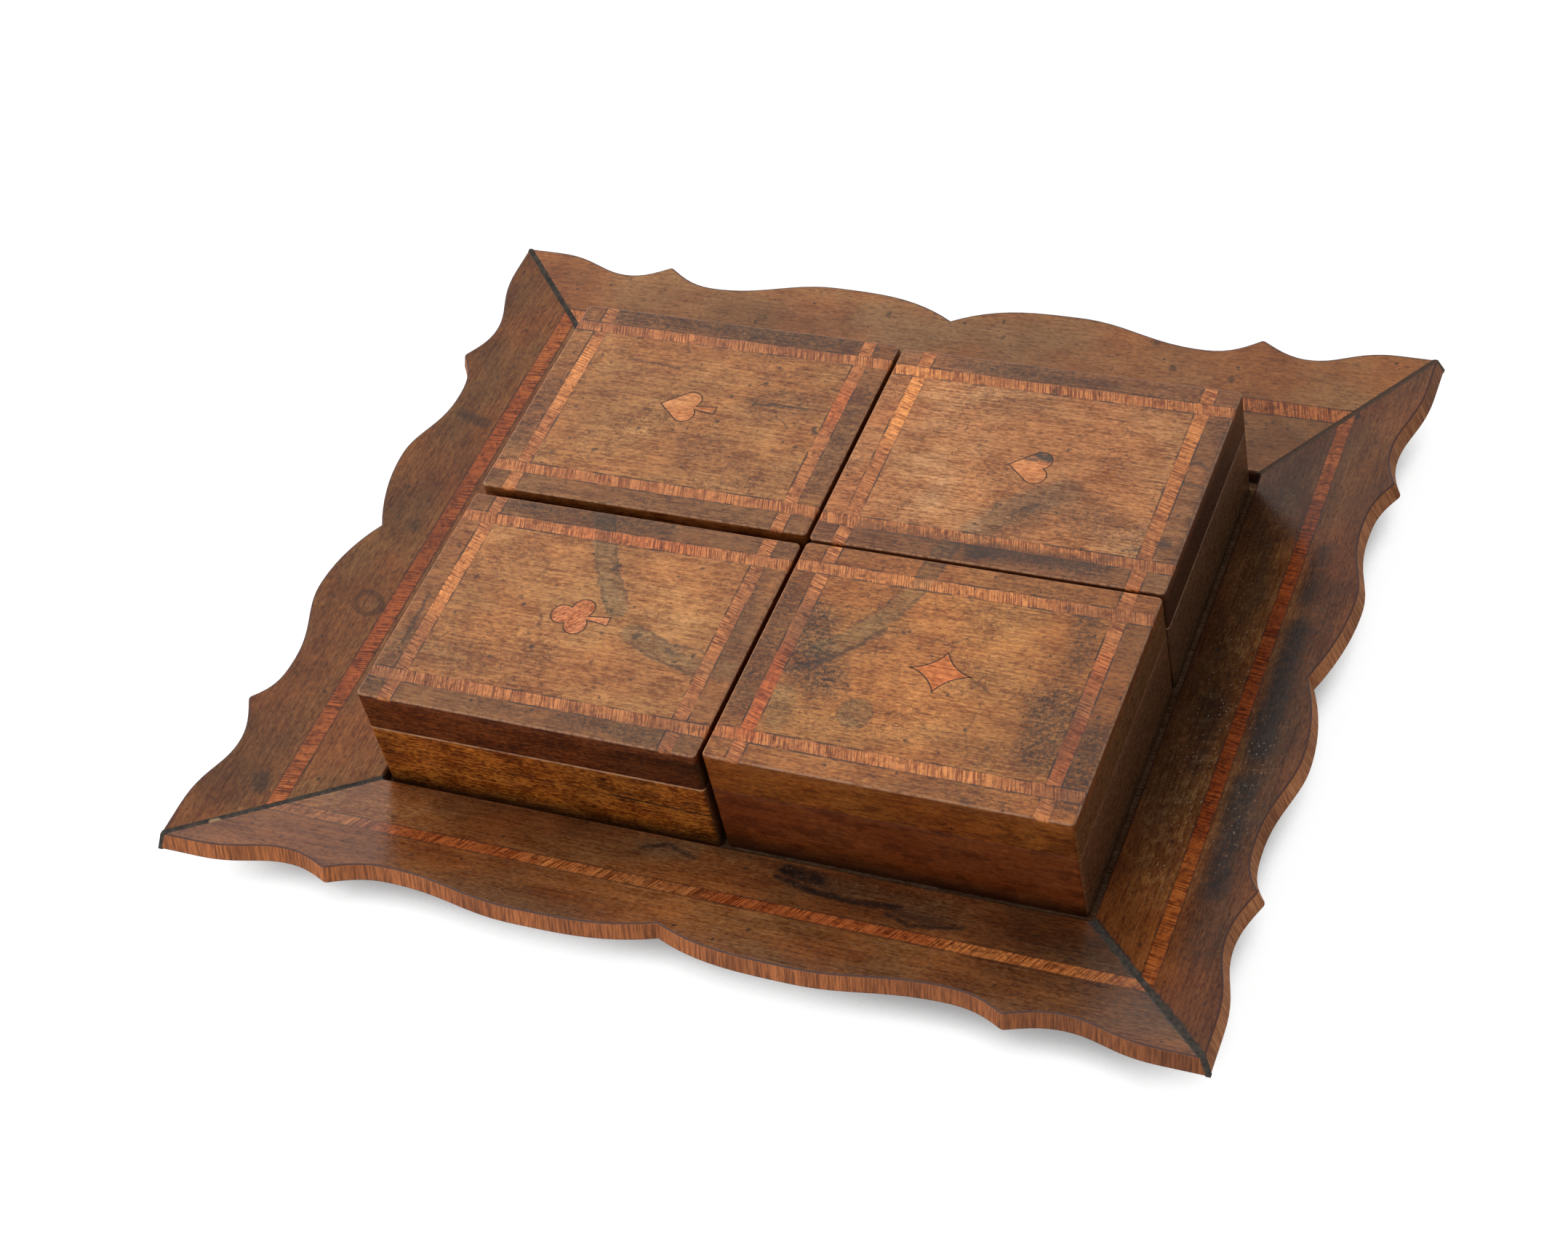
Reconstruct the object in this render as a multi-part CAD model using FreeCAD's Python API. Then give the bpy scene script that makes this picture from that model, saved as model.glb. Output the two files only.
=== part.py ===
"""Games set: four lidded playing-card boxes standing two by two in a scalloped wooden tray.

Millimetres, +Z up, +X along the tray's long side, +Y to its back. The origin is the middle of
the tray's flat underside. Each glued piece is a solid of its own.
"""
import FreeCAD, Part

import math
import os

from FreeCAD import Vector

# ---- Boxes: outside sizes and stock --------------------------------------------------------
BOX_LENGTH = 102.0            # along X
BOX_WIDTH = 79.0              # along Y
BOX_SIDE_HEIGHT = 24.1        # from the underside to the seam
BOX_WALL = 4.0
BOX_FLOOR = 3.0
LINING_THICKNESS = 1.5
LINING_STAND = 5.0            # how far the lining reaches above the seam, into the lid
CORNER_RADIUS = 1.5           # upright corners of boxes and lids
SEAM_CHAMFER = 0.3            # outer arrises on both sides of the seam, and under the box

# ---- Lids ----------------------------------------------------------------------------------
LID_HEIGHT = 14.0             # from the seam to the top
LID_PANEL = 3.2               # thickness of the top panel
LID_FIT = 0.3                 # clearance between the lining and the lid's rails
LID_ARRIS = 0.8               # rounding of the top edges

# ---- Inlay on the lids ---------------------------------------------------------------------
INLAY_DEPTH = 1.0
LID_BORDER = 6.8              # veneer border outside the banding
LID_BANDING = 4.2             # width of the banding
SUIT_BODY = 12.3              # heart or spade from point to lobes, and the club's three leaves
LOBE_RADIUS = 3.45            # the two lobes of the heart and the spade
LEAF_RADIUS = 3.55            # the three leaves of the club
LOBE_OVERLAP = 0.5            # how far a lobe or leaf crosses the suit's middle line
STEM_LENGTH = 5.6             # stem of the spade and the club, beyond the leaves
STEM_FOOT = 3.6               # width of the stem's foot
STEM_NECK = 1.2               # width of the stem where it leaves the leaves
STEM_FLARE = 0.35             # how far the stem has widened half way to its foot, each side
DIAMOND_LENGTH = 18.4
DIAMOND_WIDTH = 14.8
DIAMOND_HOLLOW = 1.5          # how far each side of the diamond curves in
SPADE_OFF_CENTRE = (-2.4, 2.6)    # the suits were let in by hand, a little off the lids' middles
HEART_OFF_CENTRE = (0.7, -0.7)
DIAMOND_OFF_CENTRE = (1.4, 1.5)
CLUB_OFF_CENTRE = (0.0, 0.3)

# ---- Tray ----------------------------------------------------------------------------------
TRAY_FLOOR = 3.0
BOARD_THICKNESS = 5.4
SIDE_BOARD_WIDTH = 43.9       # front and back borders, up the slope from the well to the lobes
LEFT_BOARD_WIDTH = 46.7
RIGHT_BOARD_WIDTH = 43.9
RIM_RISE = 13.4               # from the borders' inner edges up to their corner tips
BOARD_SEAT = 1.6              # planed off each board's lower arris, to seat it on the floor panel
BOARD_BANDING = 4.7           # width of the banding
BANDING_INWARD = 0.4          # how far the banding lies inward of the middle of the board
MITRE_GAP = 1.7               # width of the filled mitre joint

# ---- Scalloped edge of the border boards, depths measured in from the full width ----------
LOBE_DEPTH = 0.4              # middle lobes and cusps, just short of the corners
NOTCH_DEPTH = 7.0             # pointed notch at the middle of each board
FLANK_LENGTH = 10.0           # from the notch to a point part way up the lobe
FLANK_DEPTH = 3.1             # how far that point still lies below the lobe
WAIST_DEPTH = 6.0             # hollow between the middle lobe and the cusp
DIP_DEPTH = 5.0               # hollow between the cusp and the corner
CUSP_FROM_TIP = 51.3          # pointed cusp, measured back from the corner tip
WAIST_FROM_CUSP = 17.0
DIP_FROM_CUSP = 14.5
SHOULDER_FROM_TIP = 11.0      # where the outer lobe reaches its full width
CUSP_ROUNDING = 1.5           # radius that blunts the cusp

# ---- How the boxes stand in the well -------------------------------------------------------
COLUMN_GAP = 1.2              # between the left and right pairs
LEFT_PAIR_GAP = 3.2           # between the spade box and the club box
RIGHT_PAIR_GAP = 1.0          # between the heart box and the diamond box
LEFT_CLEARANCE = 1.0          # between the boxes and each border, for the wider pair
RIGHT_CLEARANCE = 2.5
FRONT_CLEARANCE = 2.3
BACK_CLEARANCE = 1.5

# ---- Derived -------------------------------------------------------------------------------
SIDE_RUN = math.sqrt(SIDE_BOARD_WIDTH ** 2 - RIM_RISE ** 2)     # plan lengths of the widths
LEFT_RUN = math.sqrt(LEFT_BOARD_WIDTH ** 2 - RIM_RISE ** 2)
RIGHT_RUN = math.sqrt(RIGHT_BOARD_WIDTH ** 2 - RIM_RISE ** 2)
BORDER_FOOT = TRAY_FLOOR - BOARD_SEAT         # where the unplaned lower arris would be

BOXES_HALF_Y = BOX_WIDTH + max(LEFT_PAIR_GAP, RIGHT_PAIR_GAP) / 2
WELL_HALF_Y = BOXES_HALF_Y + (FRONT_CLEARANCE + BACK_CLEARANCE) / 2
WELL_LENGTH = LEFT_CLEARANCE + 2 * BOX_LENGTH + COLUMN_GAP + RIGHT_CLEARANCE
WELL_LEFT = (LEFT_RUN - RIGHT_RUN - WELL_LENGTH) / 2    # the corner tips are centred
WELL_RIGHT = WELL_LEFT + WELL_LENGTH
BOXES_X = WELL_LEFT + LEFT_CLEARANCE + BOX_LENGTH + COLUMN_GAP / 2
BOXES_Y = FRONT_CLEARANCE + BOXES_HALF_Y - WELL_HALF_Y

SEAM = BOX_SIDE_HEIGHT
LID_UNDERSIDE = SEAM + LID_HEIGHT - LID_PANEL
LID_TOP = SEAM + LID_HEIGHT
LID_RAIL = BOX_WALL - LID_FIT


# ---- Helpers -------------------------------------------------------------------------------
def save(shape, name):
    """Write one sub-part to its STEP file."""
    shape.exportStep("parts/" + name + ".step")


def block(x_low, x_high, y_low, y_high, z_low, z_high):
    corner = Vector(x_low, y_low, z_low)
    return Part.makeBox(x_high - x_low, y_high - y_low, z_high - z_low, corner)


def prism(points, z_low, z_high):
    """Upright prism on a plan polygon."""
    corners = [Vector(x, y, z_low) for x, y in points]
    face = Part.Face(Part.makePolygon(corners + corners[:1]))
    return face.extrude(Vector(0, 0, z_high - z_low))


def plate(edges, z_low, z_high):
    """Upright prism on a closed outline of straight and curved edges, drawn at z = 0."""
    face = Part.Face(Part.Wire(Part.__sortEdges__(edges)))
    face.translate(Vector(0, 0, z_low))
    return face.extrude(Vector(0, 0, z_high - z_low))


def line(start, end):
    return Part.LineSegment(Vector(*start, 0), Vector(*end, 0)).toShape()


def arc(start, middle, end):
    return Part.Arc(Vector(*start, 0), Vector(*middle, 0), Vector(*end, 0)).toShape()


def one_solid(shape):
    """The single solid inside a boolean's result, without leftover seams."""
    return shape.removeSplitter().Solids[0]


def is_upright(edge):
    box = edge.BoundBox
    return box.XLength < 1e-6 and box.YLength < 1e-6


def edges_at(shape, height):
    """Edges that lie flat at one height."""
    flat = []
    for edge in shape.Edges:
        box = edge.BoundBox
        if abs(box.ZMin - height) < 1e-5 and abs(box.ZMax - height) < 1e-5:
            flat.append(edge)
    return flat


def turned(shape, degrees):
    """A copy turned about the upright axis through the origin."""
    copy = shape.copy()
    copy.rotate(Vector(0, 0, 0), Vector(0, 0, 1), degrees)
    return copy


# ---- Tray: sloping border boards -----------------------------------------------------------
class Border:
    """One sloping border board, worked out as the back one: X along it and Y outward."""

    def __init__(self, width, run, inner_offset, ends, end_runs):
        self.width = width                  # up the slope
        self.run = run                      # the width's plan length
        self.inner_offset = inner_offset    # from the tray's middle to its inner edge
        self.ends = ends                    # left and right ends of its inner edge
        self.end_runs = end_runs            # plan lengths of the boards that it meets there
        self.tip = ends[1] + end_runs[1]    # the two tips lie level with the tray's middle
        self.slope = math.degrees(math.asin(RIM_RISE / width))
        self.inner_height = BORDER_FOOT + BOARD_THICKNESS * width / run

    def scallop_half(self):
        """Edges of the scalloped outline from the middle notch to the shoulder, on the +X side."""
        cusp = self.tip - CUSP_FROM_TIP
        waist = cusp - WAIST_FROM_CUSP
        notch_point = Vector(0, self.width - NOTCH_DEPTH, 0)
        flank_point = Vector(FLANK_LENGTH, self.width - FLANK_DEPTH, 0)
        lobe_point = Vector(waist / 2, self.width - LOBE_DEPTH, 0)
        waist_point = Vector(waist, self.width - WAIST_DEPTH, 0)
        cusp_point = Vector(cusp, self.width - LOBE_DEPTH, 0)
        dip_point = Vector(cusp + DIP_FROM_CUSP, self.width - DIP_DEPTH, 0)
        shoulder_point = Vector(self.tip - SHOULDER_FROM_TIP, self.width, 0)
        level = Vector(1, 0, 0)
        free = Vector(0, 0, 0)
        lobe = Part.BSplineCurve()
        lobe.interpolate(
            Points=[notch_point, flank_point, lobe_point, waist_point, cusp_point],
            Tangents=[free, free, level, level, free],
            TangentFlags=[False, False, True, True, False],
        )
        outer = Part.BSplineCurve()
        outer.interpolate(
            Points=[cusp_point, dip_point, shoulder_point],
            Tangents=[free, level, level],
            TangentFlags=[False, True, True],
        )
        return [lobe.toShape(), outer.toShape()]

    def slope_up(self, shape):
        """Tilt a shape drawn flat about its inner edge, and set it on the edge of the well."""
        shape.rotate(Vector(0, 0, 0), Vector(1, 0, 0), self.slope)
        shape.translate(Vector(0, self.inner_offset, self.inner_height))
        return shape

    def region(self, setback):
        """Space above the floor panel between the two mitre planes, each set back a distance."""
        left_run, right_run = self.end_runs
        left = self.ends[0] + setback * math.hypot(self.run, left_run) / self.run
        right = self.ends[1] - setback * math.hypot(self.run, right_run) / self.run
        points = [
            (left, self.inner_offset),
            (right, self.inner_offset),
            (right + 2 * right_run, self.inner_offset + 2 * self.run),
            (left - 2 * left_run, self.inner_offset + 2 * self.run),
        ]
        return prism(points, TRAY_FLOOR, self.inner_height + 2 * RIM_RISE)

    def raw_board(self):
        """The board, scalloped and sloped, before it is mitred and planed."""
        end = 2 * self.tip
        right_half = self.scallop_half()
        left_half = [edge.mirror(Vector(0, 0, 0), Vector(1, 0, 0)) for edge in right_half]
        shoulder = self.tip - SHOULDER_FROM_TIP
        straight = [
            line((shoulder, self.width), (end, self.width)),
            line((end, self.width), (end, -BOARD_THICKNESS)),
            line((end, -BOARD_THICKNESS), (-end, -BOARD_THICKNESS)),
            line((-end, -BOARD_THICKNESS), (-end, self.width)),
            line((-end, self.width), (-shoulder, self.width)),
        ]
        flat = plate(right_half + left_half + straight, -BOARD_THICKNESS, 0)
        cusp = self.tip - CUSP_FROM_TIP
        uprights = [edge for edge in flat.Edges if is_upright(edge)]
        at_cusps = [edge for edge in uprights if abs(abs(edge.BoundBox.XMin) - cusp) < 1e-3]
        return self.slope_up(flat.makeFillet(CUSP_ROUNDING, at_cusps))

    def raw_strip(self):
        """The banding strip before its ends are mitred."""
        end = 2 * self.tip
        inset = (self.width - BOARD_BANDING) / 2 - BANDING_INWARD
        return self.slope_up(block(-end, end, inset, inset + BOARD_BANDING, -INLAY_DEPTH, 0))

    def pieces(self):
        """Board, banding, and the half filler at its left and right mitres."""
        board = self.raw_board()
        own_region = self.region(MITRE_GAP / 2)
        strip = self.raw_strip().common(own_region)
        filler = board.common(self.region(0)).cut(own_region)
        left_filler, right_filler = sorted(filler.Solids, key=lambda solid: solid.CenterOfMass.x)
        board = board.common(own_region).cut(strip)
        return one_solid(board), one_solid(strip), left_filler, right_filler


def make_tray():
    """The floor panel, the four borders and the filler in their mitres."""
    floor_left = WELL_LEFT - BOARD_SEAT * LEFT_RUN / RIM_RISE
    floor_right = WELL_RIGHT + BOARD_SEAT * RIGHT_RUN / RIM_RISE
    floor_y = WELL_HALF_Y + BOARD_SEAT * SIDE_RUN / RIM_RISE
    save(block(floor_left, floor_right, -floor_y, floor_y, 0, TRAY_FLOOR), "tray_floor")
    along = (WELL_LEFT, WELL_RIGHT)
    along_turned = (-WELL_RIGHT, -WELL_LEFT)
    across = (-WELL_HALF_Y, WELL_HALF_Y)
    sides = (SIDE_RUN, SIDE_RUN)
    back = Border(SIDE_BOARD_WIDTH, SIDE_RUN, WELL_HALF_Y, along, (LEFT_RUN, RIGHT_RUN))
    left = Border(LEFT_BOARD_WIDTH, LEFT_RUN, -WELL_LEFT, across, sides)
    front = Border(SIDE_BOARD_WIDTH, SIDE_RUN, WELL_HALF_Y, along_turned, (RIGHT_RUN, LEFT_RUN))
    right = Border(RIGHT_BOARD_WIDTH, RIGHT_RUN, WELL_RIGHT, across, sides)
    left_fillers = []
    right_fillers = []
    borders = (("back", back, 0), ("left", left, 90), ("front", front, 180), ("right", right, 270))
    for name, border, turn in borders:
        board, strip, left_filler, right_filler = border.pieces()
        save(turned(board, turn), "border_" + name)
        save(turned(strip, turn), "border_banding_" + name)
        left_fillers.append(turned(left_filler, turn))
        right_fillers.append(turned(right_filler, turn))
    # Seen from above, the left end of each border meets the right end of the next one round.
    next_round = right_fillers[1:] + right_fillers[:1]
    fillers = [one_solid(first.fuse(second)) for first, second in zip(left_fillers, next_round)]
    save(Part.makeCompound(fillers), "mitre_filler")


# ---- Card suits, drawn pointing along +X around the middle of their length -----------------
def heart_edges():
    """Two round lobes and two straight sides to the point."""
    lobe = LOBE_RADIUS
    lobe_offset = lobe - LOBE_OVERLAP
    lobe_x = lobe - SUIT_BODY / 2
    notch = (lobe_x - math.sqrt(lobe ** 2 - lobe_offset ** 2), 0)
    point = (SUIT_BODY / 2, 0)
    to_point = math.atan2(-lobe_offset, point[0] - lobe_x)
    distance = math.hypot(lobe_offset, point[0] - lobe_x)
    tangent = to_point + math.acos(lobe / distance)
    edges = []
    across = math.radians(135)
    for side in (1, -1):
        shoulder_y = side * (lobe_offset + lobe * math.sin(tangent))
        shoulder = (lobe_x + lobe * math.cos(tangent), shoulder_y)
        crown_y = side * (lobe_offset + lobe * math.sin(across))
        crown = (lobe_x + lobe * math.cos(across), crown_y)
        edges.append(arc(notch, crown, shoulder))
        edges.append(line(shoulder, point))
    return edges


def stem_edges(root):
    """A flared stem that runs back from the leaves along -X."""
    foot = -SUIT_BODY / 2 - STEM_LENGTH
    waist = (root + foot) / 2
    edges = [line((root, -STEM_NECK / 2), (root, STEM_NECK / 2))]
    edges.append(line((foot, -STEM_FOOT / 2), (foot, STEM_FOOT / 2)))
    for side in (1, -1):
        neck = (root, side * STEM_NECK / 2)
        hollow = (waist, side * (STEM_NECK / 2 + STEM_FLARE))
        heel = (foot, side * STEM_FOOT / 2)
        edges.append(arc(neck, hollow, heel))
    return edges


def diamond_edges():
    """Four points joined by hollow sides."""
    ahead = (DIAMOND_LENGTH / 2, 0)
    aside = (0, DIAMOND_WIDTH / 2)
    diagonal = math.hypot(ahead[0], aside[1])
    inward = DIAMOND_HOLLOW / diagonal
    hollow = (ahead[0] / 2 - inward * aside[1], aside[1] / 2 - inward * ahead[0])
    edges = []
    for along in (1, -1):
        for across in (1, -1):
            start = (along * ahead[0], 0)
            middle = (along * hollow[0], across * hollow[1])
            end = (0, across * aside[1])
            edges.append(arc(start, middle, end))
    return edges


def suit_heart(z_low, z_high):
    return plate(heart_edges(), z_low, z_high)


def suit_spade(z_low, z_high):
    shape = suit_heart(z_low, z_high).fuse(plate(stem_edges(0), z_low, z_high))
    shape.translate(Vector(STEM_LENGTH / 2, 0, 0))
    return shape


def suit_club(z_low, z_high):
    """Three round leaves and a stem."""
    leaf_x = SUIT_BODY / 2 - LEAF_RADIUS
    leaf_y = LEAF_RADIUS - LOBE_OVERLAP
    height = z_high - z_low
    shape = plate(stem_edges(0), z_low, z_high)
    for x, y in ((leaf_x, 0), (-leaf_x, leaf_y), (-leaf_x, -leaf_y)):
        shape = shape.fuse(Part.makeCylinder(LEAF_RADIUS, height, Vector(x, y, z_low)))
    shape.translate(Vector(STEM_LENGTH / 2, 0, 0))
    return shape


def suit_diamond(z_low, z_high):
    return plate(diamond_edges(), z_low, z_high)


# ---- Boxes ---------------------------------------------------------------------------------
def outer_block(z_low, z_high):
    """The full outline of a box or a lid, with rounded upright corners."""
    half_x = BOX_LENGTH / 2
    half_y = BOX_WIDTH / 2
    sharp = block(-half_x, half_x, -half_y, half_y, z_low, z_high)
    return sharp.makeFillet(CORNER_RADIUS, [e for e in sharp.Edges if is_upright(e)])


def frame_sides(half_x, half_y, thickness, z_low, z_high):
    """Four mitred sides of a rectangular frame, as plan prisms."""
    inner_x = half_x - thickness
    inner_y = half_y - thickness
    corners = [(-1, -1), (1, -1), (1, 1), (-1, 1)]
    sides = {}
    for index, name in enumerate(("front", "right", "back", "left")):
        first = corners[index]
        second = corners[(index + 1) % 4]
        points = [
            (first[0] * half_x, first[1] * half_y),
            (second[0] * half_x, second[1] * half_y),
            (second[0] * inner_x, second[1] * inner_y),
            (first[0] * inner_x, first[1] * inner_y),
        ]
        sides[name] = prism(points, z_low, z_high)
    return sides


def make_base():
    """Lower part of a box, standing on z = 0: floor, four sides and the lining."""
    half_x = BOX_LENGTH / 2
    half_y = BOX_WIDTH / 2
    inside_x = half_x - BOX_WALL
    inside_y = half_y - BOX_WALL
    body = outer_block(0, SEAM)
    body = body.makeChamfer(SEAM_CHAMFER, edges_at(body, 0) + edges_at(body, SEAM))
    pieces = {"box_floor": block(-inside_x, inside_x, -inside_y, inside_y, 0, BOX_FLOOR)}
    for name, side in frame_sides(half_x, half_y, BOX_WALL, 0, SEAM).items():
        pieces["box_" + name] = one_solid(side.common(body))
    lining = frame_sides(inside_x, inside_y, LINING_THICKNESS, BOX_FLOOR, SEAM + LINING_STAND)
    pieces["box_lining"] = Part.makeCompound(list(lining.values()))
    return pieces


def banding_strips():
    """Two lengthwise strips and, between and beyond them, two crosswise strips in three lengths."""
    half_x = BOX_LENGTH / 2
    half_y = BOX_WIDTH / 2
    bottom = LID_TOP - INLAY_DEPTH
    outer_x = half_x - LID_BORDER
    outer_y = half_y - LID_BORDER
    inner_x = outer_x - LID_BANDING
    inner_y = outer_y - LID_BANDING
    strips = []
    for low, high in ((inner_y, outer_y), (-outer_y, -inner_y)):
        strips.append(block(-half_x, half_x, low, high, bottom, LID_TOP))
    for left, right in ((inner_x, outer_x), (-outer_x, -inner_x)):
        for low, high in ((outer_y, half_y), (-inner_y, inner_y), (-half_y, -outer_y)):
            strips.append(block(left, right, low, high, bottom, LID_TOP))
    return strips


def make_lid(suit, off_centre):
    """A lid on its seam: top panel, rails, banding and its suit, all in box coordinates."""
    body = outer_block(SEAM, LID_TOP)
    body = body.makeFillet(LID_ARRIS, edges_at(body, LID_TOP))
    body = body.makeChamfer(SEAM_CHAMFER, edges_at(body, SEAM))
    half_x = BOX_LENGTH / 2
    half_y = BOX_WIDTH / 2
    rails = frame_sides(half_x, half_y, LID_RAIL, SEAM, LID_UNDERSIDE)
    rails = {name: one_solid(rail.common(body)) for name, rail in rails.items()}
    strips = [one_solid(strip.common(body)) for strip in banding_strips()]
    inlay = one_solid(turned(suit(LID_TOP - INLAY_DEPTH, LID_TOP), 180))
    inlay.translate(Vector(*off_centre, 0))
    panel = body.common(block(-half_x, half_x, -half_y, half_y, LID_UNDERSIDE, LID_TOP))
    for piece in strips + [inlay]:
        panel = panel.cut(piece)
    return {
        "lid_panel": one_solid(panel),
        "lid_side_rails": Part.makeCompound([rails["front"], rails["back"]]),
        "lid_end_rails": Part.makeCompound([rails["left"], rails["right"]]),
        "lid_banding": Part.makeCompound(strips),
        "lid_inlay": inlay,
    }


def make_boxes():
    """The four boxes, each in its place on the tray's floor."""
    column = (COLUMN_GAP + BOX_LENGTH) / 2
    left_row = (LEFT_PAIR_GAP + BOX_WIDTH) / 2
    right_row = (RIGHT_PAIR_GAP + BOX_WIDTH) / 2
    places = {
        "spade": (suit_spade, SPADE_OFF_CENTRE, -column, left_row),
        "heart": (suit_heart, HEART_OFF_CENTRE, column, right_row),
        "diamond": (suit_diamond, DIAMOND_OFF_CENTRE, column, -right_row),
        "club": (suit_club, CLUB_OFF_CENTRE, -column, -left_row),
    }
    for name, (suit, off_centre, x, y) in places.items():
        for piece_name, piece in {**make_base(), **make_lid(suit, off_centre)}.items():
            piece.translate(Vector(BOXES_X + x, BOXES_Y + y, TRAY_FLOOR))
            save(piece, name + "_" + piece_name)


os.makedirs("parts", exist_ok=True)
make_tray()
make_boxes()
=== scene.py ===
"""Looks for the games set: a walnut tray and its four card boxes.

Metres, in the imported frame. Inside the materials, points and sizes are in millimetres.
"""
import math

import bmesh
import bpy
from mathutils import Matrix, Vector


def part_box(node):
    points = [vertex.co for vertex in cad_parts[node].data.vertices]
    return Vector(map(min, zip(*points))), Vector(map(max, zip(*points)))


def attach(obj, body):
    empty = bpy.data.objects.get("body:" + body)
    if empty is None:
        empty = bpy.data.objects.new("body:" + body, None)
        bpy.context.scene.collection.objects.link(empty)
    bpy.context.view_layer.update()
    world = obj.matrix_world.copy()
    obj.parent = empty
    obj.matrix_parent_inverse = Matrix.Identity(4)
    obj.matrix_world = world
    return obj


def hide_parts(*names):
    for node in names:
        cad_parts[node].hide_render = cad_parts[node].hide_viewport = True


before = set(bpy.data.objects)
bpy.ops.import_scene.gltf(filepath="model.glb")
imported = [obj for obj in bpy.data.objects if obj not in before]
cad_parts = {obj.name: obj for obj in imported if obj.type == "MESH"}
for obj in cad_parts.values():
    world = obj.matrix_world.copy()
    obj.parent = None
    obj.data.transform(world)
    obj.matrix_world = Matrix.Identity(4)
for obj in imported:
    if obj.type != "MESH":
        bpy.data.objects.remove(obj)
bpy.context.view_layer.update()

MM = 0.001
SUITS = ("spade", "heart", "diamond", "club")

# ---- Places of the pieces, in millimetres --------------------------------------------------
WELL_LEFT, WELL_RIGHT, WELL_HALF_Y = -102.88, 105.82, 82.5
TIP_X, TIP_Y = 147.62, 124.3
BORDER_INNER_HEIGHT = 7.07
BORDER_RISE = 13.4
SIDE_WIDTH, LEFT_WIDTH = 43.9, 46.7    # of the border boards, measured up their slope
SCALLOP_REACH, INNER_REACH = 8.5, 0.5    # how far in from its edges a board's arrises lie
BORDER_EASE = 0.6
BANDING_WIDTH = 4.7
BANDING_SHIFT = 0.4    # how far the border's banding lies inward of its board's middle
SEAM_HEIGHT = 27.1    # where the lids meet their boxes
CLUB_FRONT_Y = -79    # the club box's front face lies just in front of this
INLAY_RING = 0.36
LID_BAND_X, LID_BAND_Y, LID_BAND = 42.1, 30.6, 4.2    # middles from the lid's own, and width
LID_WARP = 3.0    # how far marks on the lids are moved about in all

# For each border: which way its length runs, which way is out, its offset and width.
BORDERS = {
    "front": ((1, 0, 0), (0, -1, 0), WELL_HALF_Y, SIDE_WIDTH),
    "back": ((1, 0, 0), (0, 1, 0), WELL_HALF_Y, SIDE_WIDTH),
    "left": ((0, 1, 0), (-1, 0, 0), -WELL_LEFT, LEFT_WIDTH),
    "right": ((0, 1, 0), (1, 0, 0), WELL_RIGHT, SIDE_WIDTH),
}
MITRES = [
    [(WELL_LEFT, -WELL_HALF_Y), (-TIP_X, -TIP_Y)],
    [(WELL_RIGHT, -WELL_HALF_Y), (TIP_X, -TIP_Y)],
    [(WELL_RIGHT, WELL_HALF_Y), (TIP_X, TIP_Y)],
    [(WELL_LEFT, WELL_HALF_Y), (-TIP_X, TIP_Y)],
]

DARK = (0.030, 0.016, 0.011)
BLACK = (0.012, 0.009, 0.008)
# Tints of stains, times the wood's colour; SHADED also gives painted shade in some marks.
GREYED = (0.67, 0.84, 1.08)
SHADED = (0.23, 0.26, 0.38)
PALED = (1.45, 1.60, 1.85)


# ---- Node graphs ---------------------------------------------------------------------------
def three(value):
    """The same number for all directions, or one for each."""
    return value if isinstance(value, tuple) else (value,) * 3


class Graph:
    """A node tree, written as expressions on sockets."""

    def __init__(self, tree):
        self.tree = tree

    def put(self, value, socket):
        """Link a socket to the input socket, or set its value."""
        if isinstance(value, bpy.types.NodeSocket):
            self.tree.links.new(value, socket)
        else:
            socket.default_value = value

    def add(self, kind, inputs, output=0, **settings):
        node = self.tree.nodes.new(kind)
        for key, value in settings.items():
            setattr(node, key, value)
        for key, value in inputs.items():
            if value is not None:
                self.put(value, node.inputs[key])
        return node.outputs[output]

    def math(self, operation, a, b=None, c=None, clamp=False):
        return self.add("ShaderNodeMath", {0: a, 1: b, 2: c}, operation=operation, use_clamp=clamp)

    def vector(self, operation, a, b=None, scale=None):
        output = 1 if operation in ("DOT_PRODUCT", "DISTANCE", "LENGTH") else 0
        inputs = {0: a, 1: b, "Scale": scale}
        return self.add("ShaderNodeVectorMath", inputs, output, operation=operation)

    def split(self, vector):
        node = self.add("ShaderNodeSeparateXYZ", {0: vector}).node
        return node.outputs[0], node.outputs[1], node.outputs[2]

    def join(self, x, y, z=0.0):
        return self.add("ShaderNodeCombineXYZ", {0: x, 1: y, 2: z})

    def ramp(self, value, low, high, start=0.0, end=1.0):
        """Smooth step from start at low to end at high."""
        inputs = {0: value, 1: low, 2: high, 3: start, 4: end}
        return self.add("ShaderNodeMapRange", inputs, interpolation_type="SMOOTHSTEP")

    def line(self, value, low, high, start, end):
        """Straight line from start at low to end at high, level beyond them."""
        return self.add("ShaderNodeMapRange", {0: value, 1: low, 2: high, 3: start, 4: end})

    def mix(self, factor, a, b, blend="MIX"):
        a = a if isinstance(a, bpy.types.NodeSocket) else (*a, 1)
        b = b if isinstance(b, bpy.types.NodeSocket) else (*b, 1)
        inputs = {0: factor, 6: a, 7: b}
        return self.add("ShaderNodeMix", inputs, 2, data_type="RGBA", blend_type=blend)

    def held(self, value):
        """The value held between 0 and 1."""
        return self.math("MAXIMUM", self.math("MINIMUM", value, 1.0), 0.0)


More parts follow.
